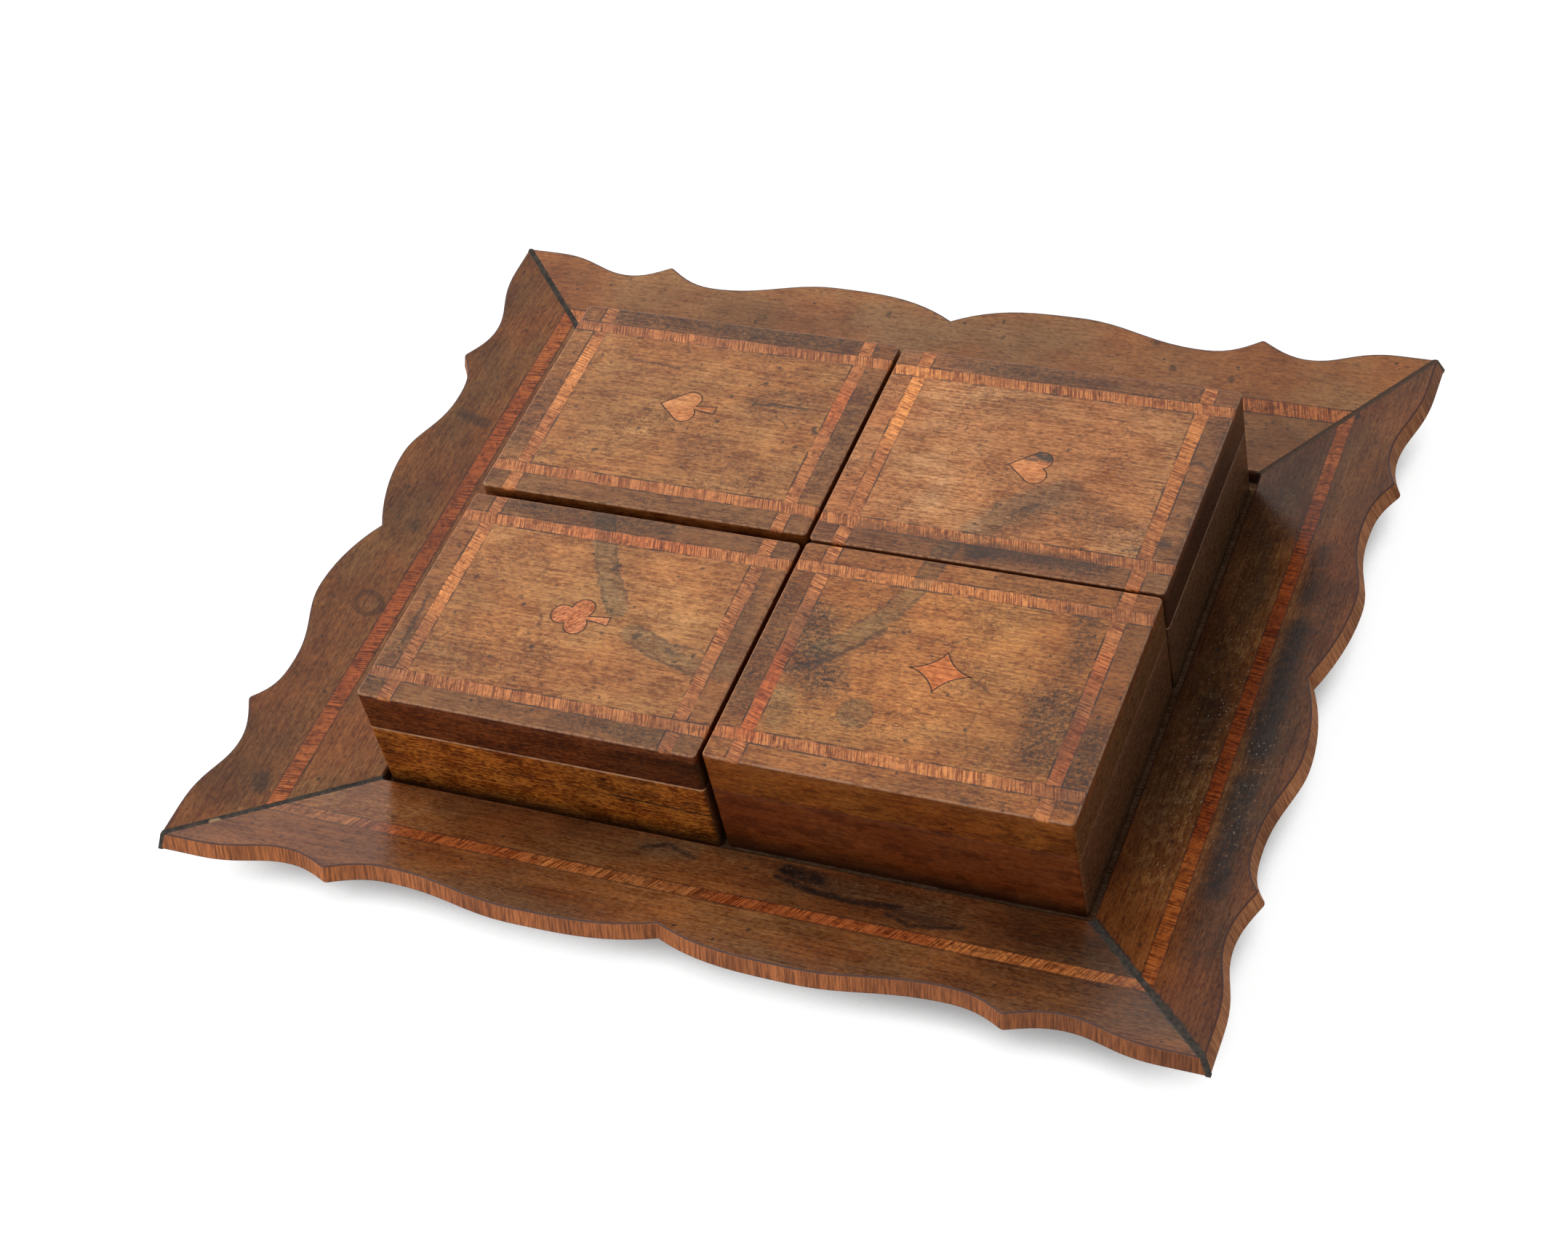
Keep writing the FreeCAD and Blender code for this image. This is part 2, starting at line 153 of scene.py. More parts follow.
class Surface(Graph):
    """A piece's material. Its point is in millimetres."""

    def __init__(self, name):
        self.material = bpy.data.materials.new(name)
        self.material.use_nodes = True
        super().__init__(self.material.node_tree)
        self.shader = self.tree.nodes["Principled BSDF"]
        coordinates = self.add("ShaderNodeTexCoord", {}).node
        self.point = self.vector("SCALE", coordinates.outputs["Object"], scale=1 / MM)
        self.normal = coordinates.outputs["Normal"]
        self.x, self.y, self.z = self.split(self.point)

    def from_above(self):
        """The point without its height."""
        return self.vector("MULTIPLY", self.point, (1, 1, 0))

    def noise(self, point, stretch, detail, roughness=0.5):
        scaled = self.vector("MULTIPLY", point, three(stretch))
        inputs = {"Vector": scaled, "Scale": 1, "Detail": detail, "Roughness": roughness}
        return self.add("ShaderNodeTexNoise", inputs)

    def hairlines(self, point, stretch, detail, roughness, wide, narrow):
        """Thin winding lines, where the noise crosses its middle."""
        off = self.math("SUBTRACT", self.noise(point, stretch, detail, roughness), 0.5)
        return self.ramp(self.math("ABSOLUTE", off), wide, narrow)

    def broken(self, lines, point, stretch, least, most):
        """Lines that come and go."""
        share = self.ramp(self.noise(point, stretch, 3, 0.6), 0.42, 0.60, least, most)
        return self.math("MULTIPLY", lines, share)

    def cells(self, position, shift):
        """Random value per strip, and distance to the strip's edge, along one direction."""
        inputs = {"W": self.math("ADD", position, shift), "Scale": 1}
        colour = self.add("ShaderNodeTexVoronoi", inputs, 1, voronoi_dimensions="1D")
        edge = self.add("ShaderNodeTexVoronoi", inputs, 0, voronoi_dimensions="1D",
                        feature="DISTANCE_TO_EDGE")
        return self.split(colour)[0], edge

    def specks(self, point, scale, size, share):
        """Small specks at some of the cells of a Voronoi pattern."""
        inputs = {"Vector": self.vector("MULTIPLY", point, three(scale)), "Scale": 1}
        node = self.add("ShaderNodeTexVoronoi", inputs).node
        near = self.ramp(node.outputs[0], size, size * 0.5)
        chosen = self.math("GREATER_THAN", self.split(node.outputs[1])[0], 1 - share)
        return self.math("MULTIPLY", near, chosen)

    def speckled(self, colour, point, scale, size, share, strength):
        """The colour with small dark specks."""
        mask = self.math("MULTIPLY", self.specks(point, scale, size, share), strength)
        return self.mix(mask, colour, DARK)

    def stroke(self, point, points, width, soft, strength):
        """Soft mark along a line of points: strength inside the half width, nothing beyond."""
        nearest = None
        pairs = list(zip(points, points[1:])) or [(points[0], points[0])]
        for (x0, y0), (x1, y1) in pairs:
            start = Vector((x0, y0, 0))
            run = Vector((x1, y1, 0)) - start
            offset = self.vector("SUBTRACT", point, tuple(start))
            if run.length < 1e-6:
                distance = self.vector("LENGTH", offset)
            else:
                share = self.vector("DOT_PRODUCT", offset, tuple(run / run.length_squared))
                share = self.math("MULTIPLY", share, 1.0, clamp=True)
                along = self.vector("SCALE", tuple(run), scale=share)
                distance = self.vector("DISTANCE", offset, along)
            nearest = distance if nearest is None else self.math("MINIMUM", nearest, distance)
        return self.ramp(nearest, width + soft, width - soft * 0.3, 0.0, strength)

    def marks(self, point, items, by=None):
        """The greatest of several strokes, times a factor where one is given."""
        total = 0.0
        for width, soft, strength, points in items:
            mask = self.stroke(point, points, width, soft, strength)
            total = self.math("MAXIMUM", total, mask)
        return total if by is None else self.math("MULTIPLY", total, by)

    def ring(self, point, centre, radius, width, strength):
        """Thin soft circle."""
        away = self.math("SUBTRACT", self.vector("DISTANCE", point, (*centre, 0)), radius)
        return self.ramp(self.math("ABSOLUTE", away), width, width * 0.3, 0.0, strength)

    def tint(self, colour, mask, by):
        """Stain that lets the grain show: the colour times by where the mask is one."""
        return self.mix(mask, colour, by, "MULTIPLY")

    def warped(self, flat, scale, reach):
        """The flat point moved about by up to half the reach, so that marks have ragged edges."""
        inputs = {"Vector": flat, "Scale": scale, "Detail": 3.0, "Roughness": 0.6}
        warp = self.vector("SUBTRACT", self.add("ShaderNodeTexNoise", inputs, 1), (0.5, 0.5, 0.5))
        return self.vector("ADD", flat, self.vector("MULTIPLY", warp, (reach, reach, 0)))

    def finish(self, colour, roughness, height, depth, specular=0.5):
        """Connect the surface. Height is 0 to 1 and depth its size in millimetres."""
        self.put(colour, self.shader.inputs["Base Color"])
        self.put(roughness, self.shader.inputs["Roughness"])
        self.put(specular, self.shader.inputs["Specular IOR Level"])
        inputs = {"Height": height, "Distance": depth * MM, "Strength": 1.0}
        self.put(self.add("ShaderNodeBump", inputs), self.shader.inputs["Normal"])
        return self.material


def shaded(colour, by):
    return tuple(c * k for c, k in zip(colour, by))


def wood(g, q, mid, seed, spread=1.0, pores=0.5, cloudy=1.0):
    """Grain along the point's X: clouds, patches, flecks, streaks and pores. Colour and height."""
    q = g.vector("ADD", q, (seed * 37.3, seed * 11.7, seed * 5.1))
    fleck = g.noise(q, (0.62, 1.45, 1.45), 2, 0.6)
    parts = (
        (2.1, fleck),
        (1.5, g.noise(q, (0.11, 0.17, 0.17), 3, 0.6)),
        (1.3, g.noise(q, (0.06, 1.5, 1.5), 1, 0.5)),
    )
    tone = 0.5 - spread * sum(weight for weight, part in parts) / 2
    for weight, part in parts:
        tone = g.math("MULTIPLY_ADD", part, weight * spread, tone)
    tone = g.held(tone)
    colour = g.mix(tone, shaded(mid, (0.52, 0.40, 0.25)), shaded(mid, (1.41, 1.66, 2.10)))
    # Large soft patches, first of brightness and then of hue.
    for stretch, low, high, less, more in (
        ((0.020, 0.028, 0.028), 0.34, 0.66, (-0.12, -0.15, -0.18), (0.10, 0.13, 0.16)),
        ((0.035, 0.055, 0.055), 0.35, 0.65, (0.04, -0.03, -0.09), (-0.03, 0.03, 0.09)),
    ):
        patch = g.ramp(g.noise(q, stretch, 2, 0.5), low, high)
        less, more = (tuple(1 + cloudy * c for c in step) for step in (less, more))
        colour = g.tint(colour, 1.0, g.mix(patch, less, more))
    pore = g.ramp(g.noise(q, (0.34, 2.5, 2.5), 1, 0.5), 0.59, 0.67)
    colour = g.tint(colour, g.math("MULTIPLY", pore, pores), (0.25, 0.20, 0.18))
    height = g.math("MULTIPLY_ADD", fleck, 0.6, 0.2)
    return colour, g.math("SUBTRACT", height, g.math("MULTIPLY", pore, 0.4))


# ---- Lids ----------------------------------------------------------------------------------
LID_TONES = {
    "spade": (0.400, 0.145, 0.034),
    "heart": (0.480, 0.180, 0.052),
    "club": (0.412, 0.147, 0.034),
    "diamond": (0.430, 0.146, 0.030),
}
# The lid's sides, then the box's.
SIDE_TONES = {
    "spade": ((0.20, 0.055, 0.010), (0.20, 0.055, 0.010)),
    "heart": ((0.120, 0.035, 0.010), (0.200, 0.075, 0.026)),
    "club": ((0.140, 0.030, 0.005), (0.350, 0.095, 0.010)),
    "diamond": ((0.250, 0.064, 0.008), (0.200, 0.044, 0.008)),
}
# How uneven each wood is.
SIDE_SPREAD = {"spade": (1.0, 1.0), "heart": (0.5, 0.5), "club": (1.6, 1.9), "diamond": (0.8, 0.5)}
# How plain the pale line between lid and box is: wear with a painted highlight. Where it is faint,
# the seam gets painted shade.
SEAM_WEAR_AND_HIGHLIGHT = {"spade": 0.6, "heart": 0.7, "club": 1.0, "diamond": 0.0}
# Dirt and painted light and shade on the right-hand faces, which get a colour of their own: the
# lid's, then the box's.
GRIME_AND_SHADE = {
    "spade": ((0.060, 0.028, 0.012), (0.090, 0.045, 0.022)),
    "heart": ((0.062, 0.024, 0.009), (0.250, 0.130, 0.064)),
    "club": ((0.060, 0.028, 0.012), (0.090, 0.045, 0.022)),
    "diamond": ((0.250, 0.115, 0.042), (0.290, 0.140, 0.066)),
}
# Brightness of the strips outside a lid's banding: back, front, left, right.
LID_OUTER = {
    "spade": (0.62, 0.58, 0.80, 0.72),
    "heart": (0.55, 0.48, 1.02, 0.60),
    "club": (0.55, 0.52, 0.78, 0.68),
    "diamond": (0.80, 0.85, 0.66, 0.62),
}
# Marks on the lids: half width, softness, strength, points.
LID_GREY = [
    (2.6, 1.2, 0.95, [(-61, 0), (-56, -12), (-51, -21), (-41.5, -36)]),
    (2.6, 1.8, 0.85, [(-34, -43), (-24, -47), (-12, -51), (0, -49.5)]),
    (2.6, 1.0, 1.00, [(19, -38), (27, -31), (34, -21), (38.5, -10), (40.5, 6)]),
    (3.6, 3.0, 0.85, [(47, 13), (52, 21), (58, 27), (66, 32)]),
    (1.0, 6.0, 0.50, [(30, 24), (32, 28)]),
    (4.6, 0.7, 0.95, [(36.5, -56.5)]),
    (2.6, 3.0, 0.85, [(15, -54), (16.5, -63)]),
]
# Rings: centre, radius, width, strength.
LID_RINGS = [
    ((36.5, -56.5), 4.9, 0.5, 0.65), ((-98.5, 32), 4.4, 0.6, 0.5), ((19.5, 20.5), 4.6, 0.5, 0.35),
    ((56.5, -28.5), 3.0, 0.4, 0.35), ((91, 66), 3.5, 0.4, 0.25),
]
LID_DARK = [
    (0.3, 0.7, 0.75, [(-65, -1), (-58, -2)]),
    (0.4, 0.8, 0.8, [(-47.5, -20), (-49, -22)]),
    (0.25, 0.4, 0.5, [(-58.5, 1), (-53, -11), (-47.5, -22), (-39, -33)]),
    (0.25, 0.5, 0.45, [(-58, -11), (-54, -22), (-44, -37)]),
    (0.25, 0.5, 0.55, [(-33, -40), (-22, -44.5), (-11, -45.5), (0, -45)]),
    (0.25, 0.5, 0.50, [(-34, -46), (-24, -50.5), (-10, -54)]),
    (0.6, 0.8, 0.70, [(-33, -44), (-31.5, -43)]),
    (0.6, 0.8, 0.60, [(-22, -47), (-20, -48)]),
    (0.4, 1.2, 0.75, [(13, -46), (20, -42), (28, -35), (34, -27)]),
    (0.3, 0.6, 0.45, [(24, -29), (31, -19), (35.5, -8), (37.5, 4)]),
    (0.3, 0.6, 0.40, [(36, -21), (41, -10), (43.5, 8)]),
    (0.7, 0.5, 0.70, [(-74, 22)]), (0.6, 0.5, 0.70, [(-86, 19)]), (0.6, 0.4, 0.75, [(-64.5, 33)]),
    (0.6, 0.4, 0.80, [(-13, 42.5), (-12, 40.5)]), (0.4, 0.5, 0.7, [(-95.5, 51)]),
    (0.35, 0.4, 0.80, [(-34, 48.5), (-27, 50), (-17.5, 50)]),
    (0.25, 0.3, 0.60, [(-37, 51), (-33, 49)]), (0.2, 0.3, 0.60, [(-26, 46), (-20, 41)]),
    (0.2, 0.4, 0.40, [(-85, 63), (-81, 69), (-78, 71)]), (0.2, 0.4, 0.35, [(-62, 66), (-65, 72)]),
    (0.25, 0.3, 0.70, [(-14, 59.3), (-8, 58.6)]),
    (0.2, 0.4, 0.55, [(-101.5, 35), (-98, 36.5), (-95.5, 34), (-95.5, 30), (-98, 27.5)]),
    (0.3, 0.5, 0.5, [(-79, 61), (-62, 59)]),
    (0.8, 0.6, 0.65, [(51, 71), (51, 69.5)]), (0.5, 0.4, 0.60, [(73.5, 62)]),
    (0.4, 0.3, 0.50, [(87.5, 65)]), (0.5, 0.4, 0.55, [(36.5, 45)]), (0.35, 0.4, 0.5, [(2, 30)]),
    (0.3, 0.5, 0.70, [(95.5, 49.5), (100, 50), (102, 48)]),
    (0.3, 0.5, 0.60, [(95.5, 42), (102.5, 41.5)]),
    (0.25, 0.4, 0.5, [(96, 49.5), (96, 42)]),
    (1.0, 0.8, 0.75, [(97, 18), (99, 19)]), (0.25, 0.5, 0.65, [(88, 14), (94, 16), (97, 20)]),
    (2.2, 1.8, 0.70, [(49, 6), (54, 7)]), (1.6, 2.0, 0.55, [(56, 7.5), (80, 7.0)]),
    (0.8, 2.0, 0.50, [(14, 9), (42, 8.6)]), (1.0, 1.0, 0.5, [(83, 9.5), (86, 11)]),
    (0.7, 1.2, 0.75, [(48.5, 24)]), (0.5, 1.0, 0.5, [(55, 22), (60, 26)]),
    (0.6, 0.4, 0.60, [(-71, -37)]), (0.25, 0.3, 0.5, [(-62, -42), (-61, -46)]),
    (0.4, 0.5, 0.65, [(-97.5, -42), (-97, -60)]),
    (0.8, 0.5, 0.60, [(74, -60)]), (0.9, 0.6, 0.60, [(80, -9.5)]), (0.9, 0.8, 0.55, [(74, -78)]),
    (0.3, 0.4, 0.55, [(62, -38), (68.5, -42)]), (0.2, 0.3, 0.5, [(66, -36.5), (64, -41)]),
    (0.2, 0.3, 0.45, [(47, -29), (50, -27), (52, -29), (56, -26.5)]),
    (0.2, 0.3, 0.5, [(31, -36), (37, -33)]), (0.2, 0.3, 0.5, [(34, -31.5), (34.5, -37)]),
    (0.2, 0.3, 0.5, [(22, -55), (28, -52)]), (0.2, 0.3, 0.4, [(20, -58.5), (26, -57)]),
    (0.2, 0.3, 0.35, [(68, -45), (67, -57), (70, -64)]),
]
LID_SHADE = [
    (3.0, 5.0, 0.75, [(-62, 79.5), (-20, 79.5)]), (3.5, 3.0, 0.70, [(-88, 79), (-16, 79)]),
    (4.5, 6.0, 1.00, [(14, -28), (15, -40), (23, -46)]), (2.0, 5.0, 0.60, [(4, -20), (5, -60)]),
    (5.0, 6.0, 0.90, [(87, -42), (88, -58)]), (1.5, 5.0, 0.75, [(86, -13), (88, -28)]),
    (3.0, 4.0, 0.80, [(100, -72), (100, -50)]), (3.0, 8.0, 0.45, [(72, 24), (90, 20)]),
    (2.5, 5.0, 0.60, [(-96, -52), (-98, -74)]), (2.0, 5.0, 0.60, [(-40, -75), (-10, -75)]),
    (1.5, 4.0, 0.60, [(-92, -3), (-40, -4)]), (1.0, 5.0, 0.60, [(66, 75), (20, 77)]),
    (2.0, 6.0, 0.45, [(-4, 60), (-4, 20)]), (2.0, 5.0, 0.40, [(-100, 20), (-99, 45)]),
    (2.0, 8.0, 0.40, [(-34, 47), (-20, 50)]), (3.0, 9.0, 0.32, [(-45, 28), (-18, 22)]),
    (3.0, 9.0, 0.35, [(-92, -60), (-75, -64)]), (3.0, 8.0, 0.45, [(56, 18), (62, 28)]),
    (2.0, 4.0, 0.60, [(46, 5.5), (84, 6)]), (1.5, 4.0, 0.5, [(-8, -14), (-4, -44)]),
    # Painted shade along the heart lid's right arris.
    (0.8, 2.2, 0.55, [(103.5, 14), (103.5, 74)]),
]
LID_PALE = [
    (1.2, 1.0, 0.60, [(-68, 31), (-63, 32)]), (3.0, 9.0, 0.32, [(-55, 62), (-35, 64)]),
    (4.0, 10.0, 0.42, [(-34, -20), (-24, -34)]), (2.0, 6.0, 0.30, [(-62, -48), (-55, -52)]),
    (3.0, 12.0, 0.38, [(20, 60), (32, 44)]), (2.5, 7.0, 0.40, [(27, 38), (31, 22)]),
    (3.0, 10.0, 0.35, [(50, -20), (56, -28)]), (3.0, 9.0, 0.30, [(48, -52), (60, -56)]),
    (2.0, 6.0, 0.35, [(74, -68), (84, -70)]), (5.0, 12.0, 0.45, [(-86, -16), (-72, -20)]),
    (6.0, 14.0, 0.35, [(52, -44), (70, -30)]), (3.0, 8.0, 0.30, [(14, 66), (24, 66)]),
]
# Where a lid's banding is brighter, redder and duller.
LID_BAND_BRIGHT = [
    (2.2, 13, 1.0, [(10, 50), (10, 66)]), (2.2, 12, 0.60, [(-94.5, 44), (-94.5, 58)]),
    (2.2, 12, 0.50, [(-93, -44), (-93, -24)]), (2.2, 9, 0.30, [(94.5, 52), (94.5, 62)]),
    (2.2, 9, 0.30, [(20, -9), (66, -9)]), (2.2, 7, 0.30, [(40, -70), (76, -70)]),
]
LID_BAND_RED = [
    (2.2, 8, 1.0, [(10.2, -66), (10.2, -42)]), (2.2, 8, 0.70, [(94.4, -62), (94.4, -50)]),
    (2.2, 6, 0.70, [(-8.8, 48), (-8.8, 57)]), (2.2, 6, 0.55, [(94.4, -26), (94.4, -34)]),
    (2.2, 8, 0.45, [(-62, -10), (-30, -10)]),
]
LID_BAND_DULL = [
    (2.2, 8, 0.60, [(-100, 75), (-84, 73)]), (2.2, 9, 0.55, [(-55, 72), (-20, 72)]),
    (2.2, 7, 0.65, [(86, 12), (100, 10)]), (2.2, 8, 0.55, [(86, -9), (100, -9)]),
    (2.2, 7, 0.55, [(-100, -71), (-84, -71)]), (2.2, 7, 0.5, [(-96, -62), (-96, -78)]),
    (2.2, 7, 0.55, [(90, -70), (100, -70)]), (2.2, 6, 0.5, [(-8, -62), (-8, -78)]),
    (2.2, 10, 0.90, [(94.4, -54), (94.4, -36)]),
]
INLAY_TONES = {
    "spade": (0.63, 0.218, 0.060),
    "heart": (0.70, 0.245, 0.074),
    "diamond": (0.66, 0.165, 0.034),
    "club": (0.60, 0.185, 0.056),
}
INLAY_STAINS = [
    (2.0, 1.4, 0.95, [(52, 47), (57.5, 44.5)]), (0.5, 0.7, 0.8, [(51, 43), (54.5, 42.5)]),
    (0.4, 0.8, 0.5, [(-47, 41), (-44.5, 43)]), (0.3, 0.6, 0.5, [(-48, 39), (-46, 39.5)]),
]
# The crack in the club box's front, along X and Z.
CLUB_CRACK = [
    (0.15, 0.35, 0.9, [(-30, 17.4), (-12, 17.0), (0, 16.4)]),
    (0.1, 0.3, 0.45, [(-70, 18.2), (-30, 17.4)]),
]


def near_lid(items, suit):
    """The marks that reach one lid."""
    low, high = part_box(suit + "_lid_panel")
    kept = []
    for width, soft, strength, points in items:
        reach = width + soft + LID_WARP / 2
        xs, ys = [x for x, y in points], [y for x, y in points]
        beside = max(xs) + reach < low.x / MM or min(xs) - reach > high.x / MM
        beyond = max(ys) + reach < low.y / MM or min(ys) - reach > high.y / MM
        if not beside and not beyond:
            kept.append((width, soft, strength, points))
    return kept


def strip_edge(g, position, middle, half, width):
    """Thin line on both edges of a strip that lies twice, mirrored about zero."""
    off = g.math("SUBTRACT", g.math("ABSOLUTE", position), middle)
    off = g.math("SUBTRACT", g.math("ABSOLUTE", off), half)
    return g.ramp(g.math("ABSOLUTE", off), width, width * 0.4)


def side_wood(g, suit, part):
    """Wood of a box's sides, grain level, mitred at the corners."""
    # The grain turns where the face has turned through 45 degrees.
    across = g.split(g.vector("ABSOLUTE", g.normal))[0]
    end = g.math("GREATER_THAN", across, 0.7071)
    level = g.add("ShaderNodeMix", {0: end, 2: g.x, 3: g.y})
    inward = g.add("ShaderNodeMix", {0: end, 2: g.y, 3: g.x})
    q = g.join(level, g.z, g.math("MULTIPLY", inward, 0.2))
    seed = SUITS.index(suit) + 10 + 10 * part
    spread = SIDE_SPREAD[suit][part]
    return wood(g, q, SIDE_TONES[suit][part], seed, spread, 0.6 * spread)


def outer_strips(g, suit, local_x, local_y):
    """Tint of the strips outside a lid's banding, and white inside it."""
    back, front, left, right = ((b, b * 0.93, b * 0.88) for b in LID_OUTER[suit])
    ends = g.mix(g.math("GREATER_THAN", local_y, 0.0), front, back)
    sides = g.mix(g.math("GREATER_THAN", local_x, 0.0), left, right)
    out_x = g.math("GREATER_THAN", g.math("ABSOLUTE", local_x), LID_BAND_X)
    out_y = g.math("GREATER_THAN", g.math("ABSOLUTE", local_y), LID_BAND_Y)
    return g.mix(out_y, g.mix(out_x, (1, 1, 1), sides), ends)


def lid_panel_material(suit):
    g = Surface(suit + "_lid_veneer")
    low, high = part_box(suit + "_lid_panel")
    middle = (low + high) / 2 / MM
    seed = SUITS.index(suit) + 1
    flat = g.from_above()
    wobble = g.noise(flat, 0.55, 3, 0.65)
    place = g.warped(flat, 0.35, LID_WARP)
    colour, height = wood(g, flat, LID_TONES[suit], seed, 0.95, 0.55)
    local_x = g.math("SUBTRACT", g.x, middle.x)
    local_y = g.math("SUBTRACT", g.y, middle.y)
    colour = g.tint(colour, 1.0, outer_strips(g, suit, local_x, local_y))
    # Craze lines, specks, stains, rings and dirt.
    craze = g.hairlines(place, 0.22, 5, 0.65, 0.018, 0.004)
    patch = g.ramp(g.noise(flat, 0.045, 2), 0.46, 0.60)
    craze = g.math("MULTIPLY", g.math("MULTIPLY", craze, patch), 0.75)
    colour = g.tint(colour, craze, (0.24, 0.20, 0.20))
    colour = g.speckled(colour, place, (0.22, 0.22, 0.3), 0.16, 0.5, 0.75)
    colour = g.speckled(colour, place, (0.60, 0.60, 0.9), 0.24, 0.35, 0.55)
    patchy = g.ramp(wobble, 0.40, 0.60)
    crust = g.ramp(g.noise(flat, 0.8, 3, 0.7), 0.44, 0.56, 1.0, 0.35)
    shade = g.marks(place, near_lid(LID_SHADE, suit), crust)
    colour = g.tint(colour, shade, SHADED)
    crackle = g.hairlines(place, 0.55, 3, 0.6, 0.030, 0.008)
    crackle = g.math("MULTIPLY", crackle, g.math("MULTIPLY", shade, 2.0, clamp=True))
    colour = g.tint(colour, g.math("MULTIPLY", crackle, 0.8), (0.22, 0.20, 0.22))
    share = g.math("MULTIPLY_ADD", patchy, 0.6, 0.6)
    colour = g.tint(colour, g.marks(place, near_lid(LID_PALE, suit), share), PALED)
    share = g.math("MULTIPLY_ADD", patchy, 0.4, 0.75)
    colour = g.tint(colour, g.marks(place, near_lid(LID_GREY, suit), share), GREYED)
    for centre, radius, width, strength in LID_RINGS:
        if low.x / MM < centre[0] < high.x / MM and low.y / MM < centre[1] < high.y / MM:
            ring = g.math("MULTIPLY", g.ring(place, centre, radius, width, strength), patchy)
            colour = g.tint(colour, ring, (0.25, 0.22, 0.24))
    dark = g.marks(place, near_lid(LID_DARK, suit), g.ramp(wobble, 0.3, 0.5, 0.5, 1.0))
    colour = g.mix(dark, colour, DARK)
    # Broken glue lines along the banding.
    lines = g.math("MAXIMUM", strip_edge(g, local_x, LID_BAND_X, LID_BAND / 2, 0.40),
                   strip_edge(g, local_y, LID_BAND_Y, LID_BAND / 2, 0.40))
    lines = g.broken(lines, flat, 0.12, 0.15, 0.95)
    colour = g.mix(lines, colour, DARK)
    # The panel's edges, and the pale arris between: wear with a painted highlight.
    edges, _ = side_wood(g, suit, 0)
    up = g.split(g.normal)[2]
    colour = g.mix(g.ramp(up, 0.3, 0.75), edges, colour)
    arris = g.math("MULTIPLY", g.ramp(up, 0.15, 0.6), g.ramp(up, 0.995, 0.85))
    arris = g.math("MULTIPLY", arris, g.ramp(wobble, 0.36, 0.6, 0.1, 0.85))
    colour = g.mix(arris, colour, (0.46, 0.23, 0.12))
    height = g.math("SUBTRACT", height, g.math("MAXIMUM", dark, lines))
    roughness = g.math("MULTIPLY_ADD", wobble, 0.30, 0.25)
    return g.finish(colour, roughness, height, 0.06)


def banded(g, along, across, shift, pitch, slant):
    """Cross-grained strip: pieces in a row with slanting joints, striped in places."""
    lean = g.math("MULTIPLY_ADD", across, slant, along)
    tone, edge = g.cells(g.math("MULTIPLY", lean, 1 / pitch), shift)
    fine = g.noise(g.join(lean, across, shift), (2.4, 0.12, 1), 1, 0.5)
    stretch = g.noise(g.join(along, across, shift), (0.10, 0.25, 1), 1, 0.5)
    striped = g.ramp(stretch, 0.47, 0.60)
    strength = g.math("MULTIPLY_ADD", striped, 4.0, 1.6)
    tone = g.math("MULTIPLY_ADD", tone, 0.40, 0.30)
    tone = g.math("MULTIPLY_ADD", g.math("SUBTRACT", fine, 0.5), strength, tone)
    grit = g.noise(g.join(along, across, shift), (0.8, 0.8, 1), 2, 0.6)
    tone = g.math("MULTIPLY_ADD", g.math("SUBTRACT", grit, 0.5), 1.6, tone)
    tone = g.held(tone)
    colour = g.mix(tone, (0.25, 0.060, 0.012), (0.73, 0.262, 0.078))
    seam = g.ramp(edge, 0.16 / pitch, 0.04 / pitch)
    seam = g.math("MULTIPLY", seam, g.ramp(grit, 0.42, 0.56, 0.1, 0.8))
    return g.mix(seam, colour, DARK), fine


def lid_banding_material(suit):
    g = Surface(suit + "_lid_banding")
    low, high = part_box(suit + "_lid_panel")
    middle = (low + high) / 2 / MM
    seed = SUITS.index(suit) * 17.0
    flat = g.from_above()
    local_x = g.math("SUBTRACT", g.x, middle.x)
    local_y = g.math("SUBTRACT", g.y, middle.y)
    wobble = g.noise(flat, 0.4, 3, 0.65)
    off = g.math("SUBTRACT", g.math("ABSOLUTE", local_y), LID_BAND_Y)
    margin = 0.02
    lengthwise = g.math("LESS_THAN", g.math("ABSOLUTE", off), LID_BAND / 2 + margin)
    along = g.add("ShaderNodeMix", {0: lengthwise, 2: g.y, 3: g.x})
    across = g.add("ShaderNodeMix", {0: lengthwise, 2: g.x, 3: g.y})
    colour, fine = banded(g, along, across, seed, 3.4, 0.30)
    colour = g.tint(colour, g.marks(flat, near_lid(LID_BAND_BRIGHT, suit)), (1.75, 1.90, 1.75))
    colour = g.tint(colour, g.marks(flat, near_lid(LID_BAND_RED, suit)), (1.05, 0.70, 0.52))
    colour = g.tint(colour, g.marks(flat, near_lid(LID_BAND_DULL, suit)), (0.66, 0.66, 0.74))
    colour = g.tint(colour, g.ramp(wobble, 0.54, 0.66, 0, 0.75), (0.40, 0.34, 0.34))
    place = g.warped(flat, 0.35, LID_WARP)
    colour = g.tint(colour, g.marks(place, near_lid(LID_GREY, suit), 0.6), GREYED)
    spots = [item for item in near_lid(LID_DARK, suit) if item[0] >= 0.4]
    colour = g.mix(g.marks(place, spots, 0.8), colour, DARK)
    colour = g.tint(colour, g.marks(place, near_lid(LID_SHADE, suit), 0.6), SHADED)
    cross_lines = g.math("MULTIPLY", strip_edge(g, local_x, LID_BAND_X, LID_BAND / 2, 0.30),
                         g.math("SUBTRACT", 1.0, lengthwise))
    lines = g.math("MAXIMUM", strip_edge(g, local_y, LID_BAND_Y, LID_BAND / 2, 0.30), cross_lines)
    lines = g.broken(lines, flat, 0.12, 0.10, 0.85)
    colour = g.mix(lines, colour, DARK)
    roughness = g.math("MULTIPLY_ADD", wobble, 0.30, 0.24)
    height = g.math("SUBTRACT", g.math("MULTIPLY", fine, 0.6), g.math("MULTIPLY", lines, 0.5))
    return g.finish(colour, roughness, height, 0.06)


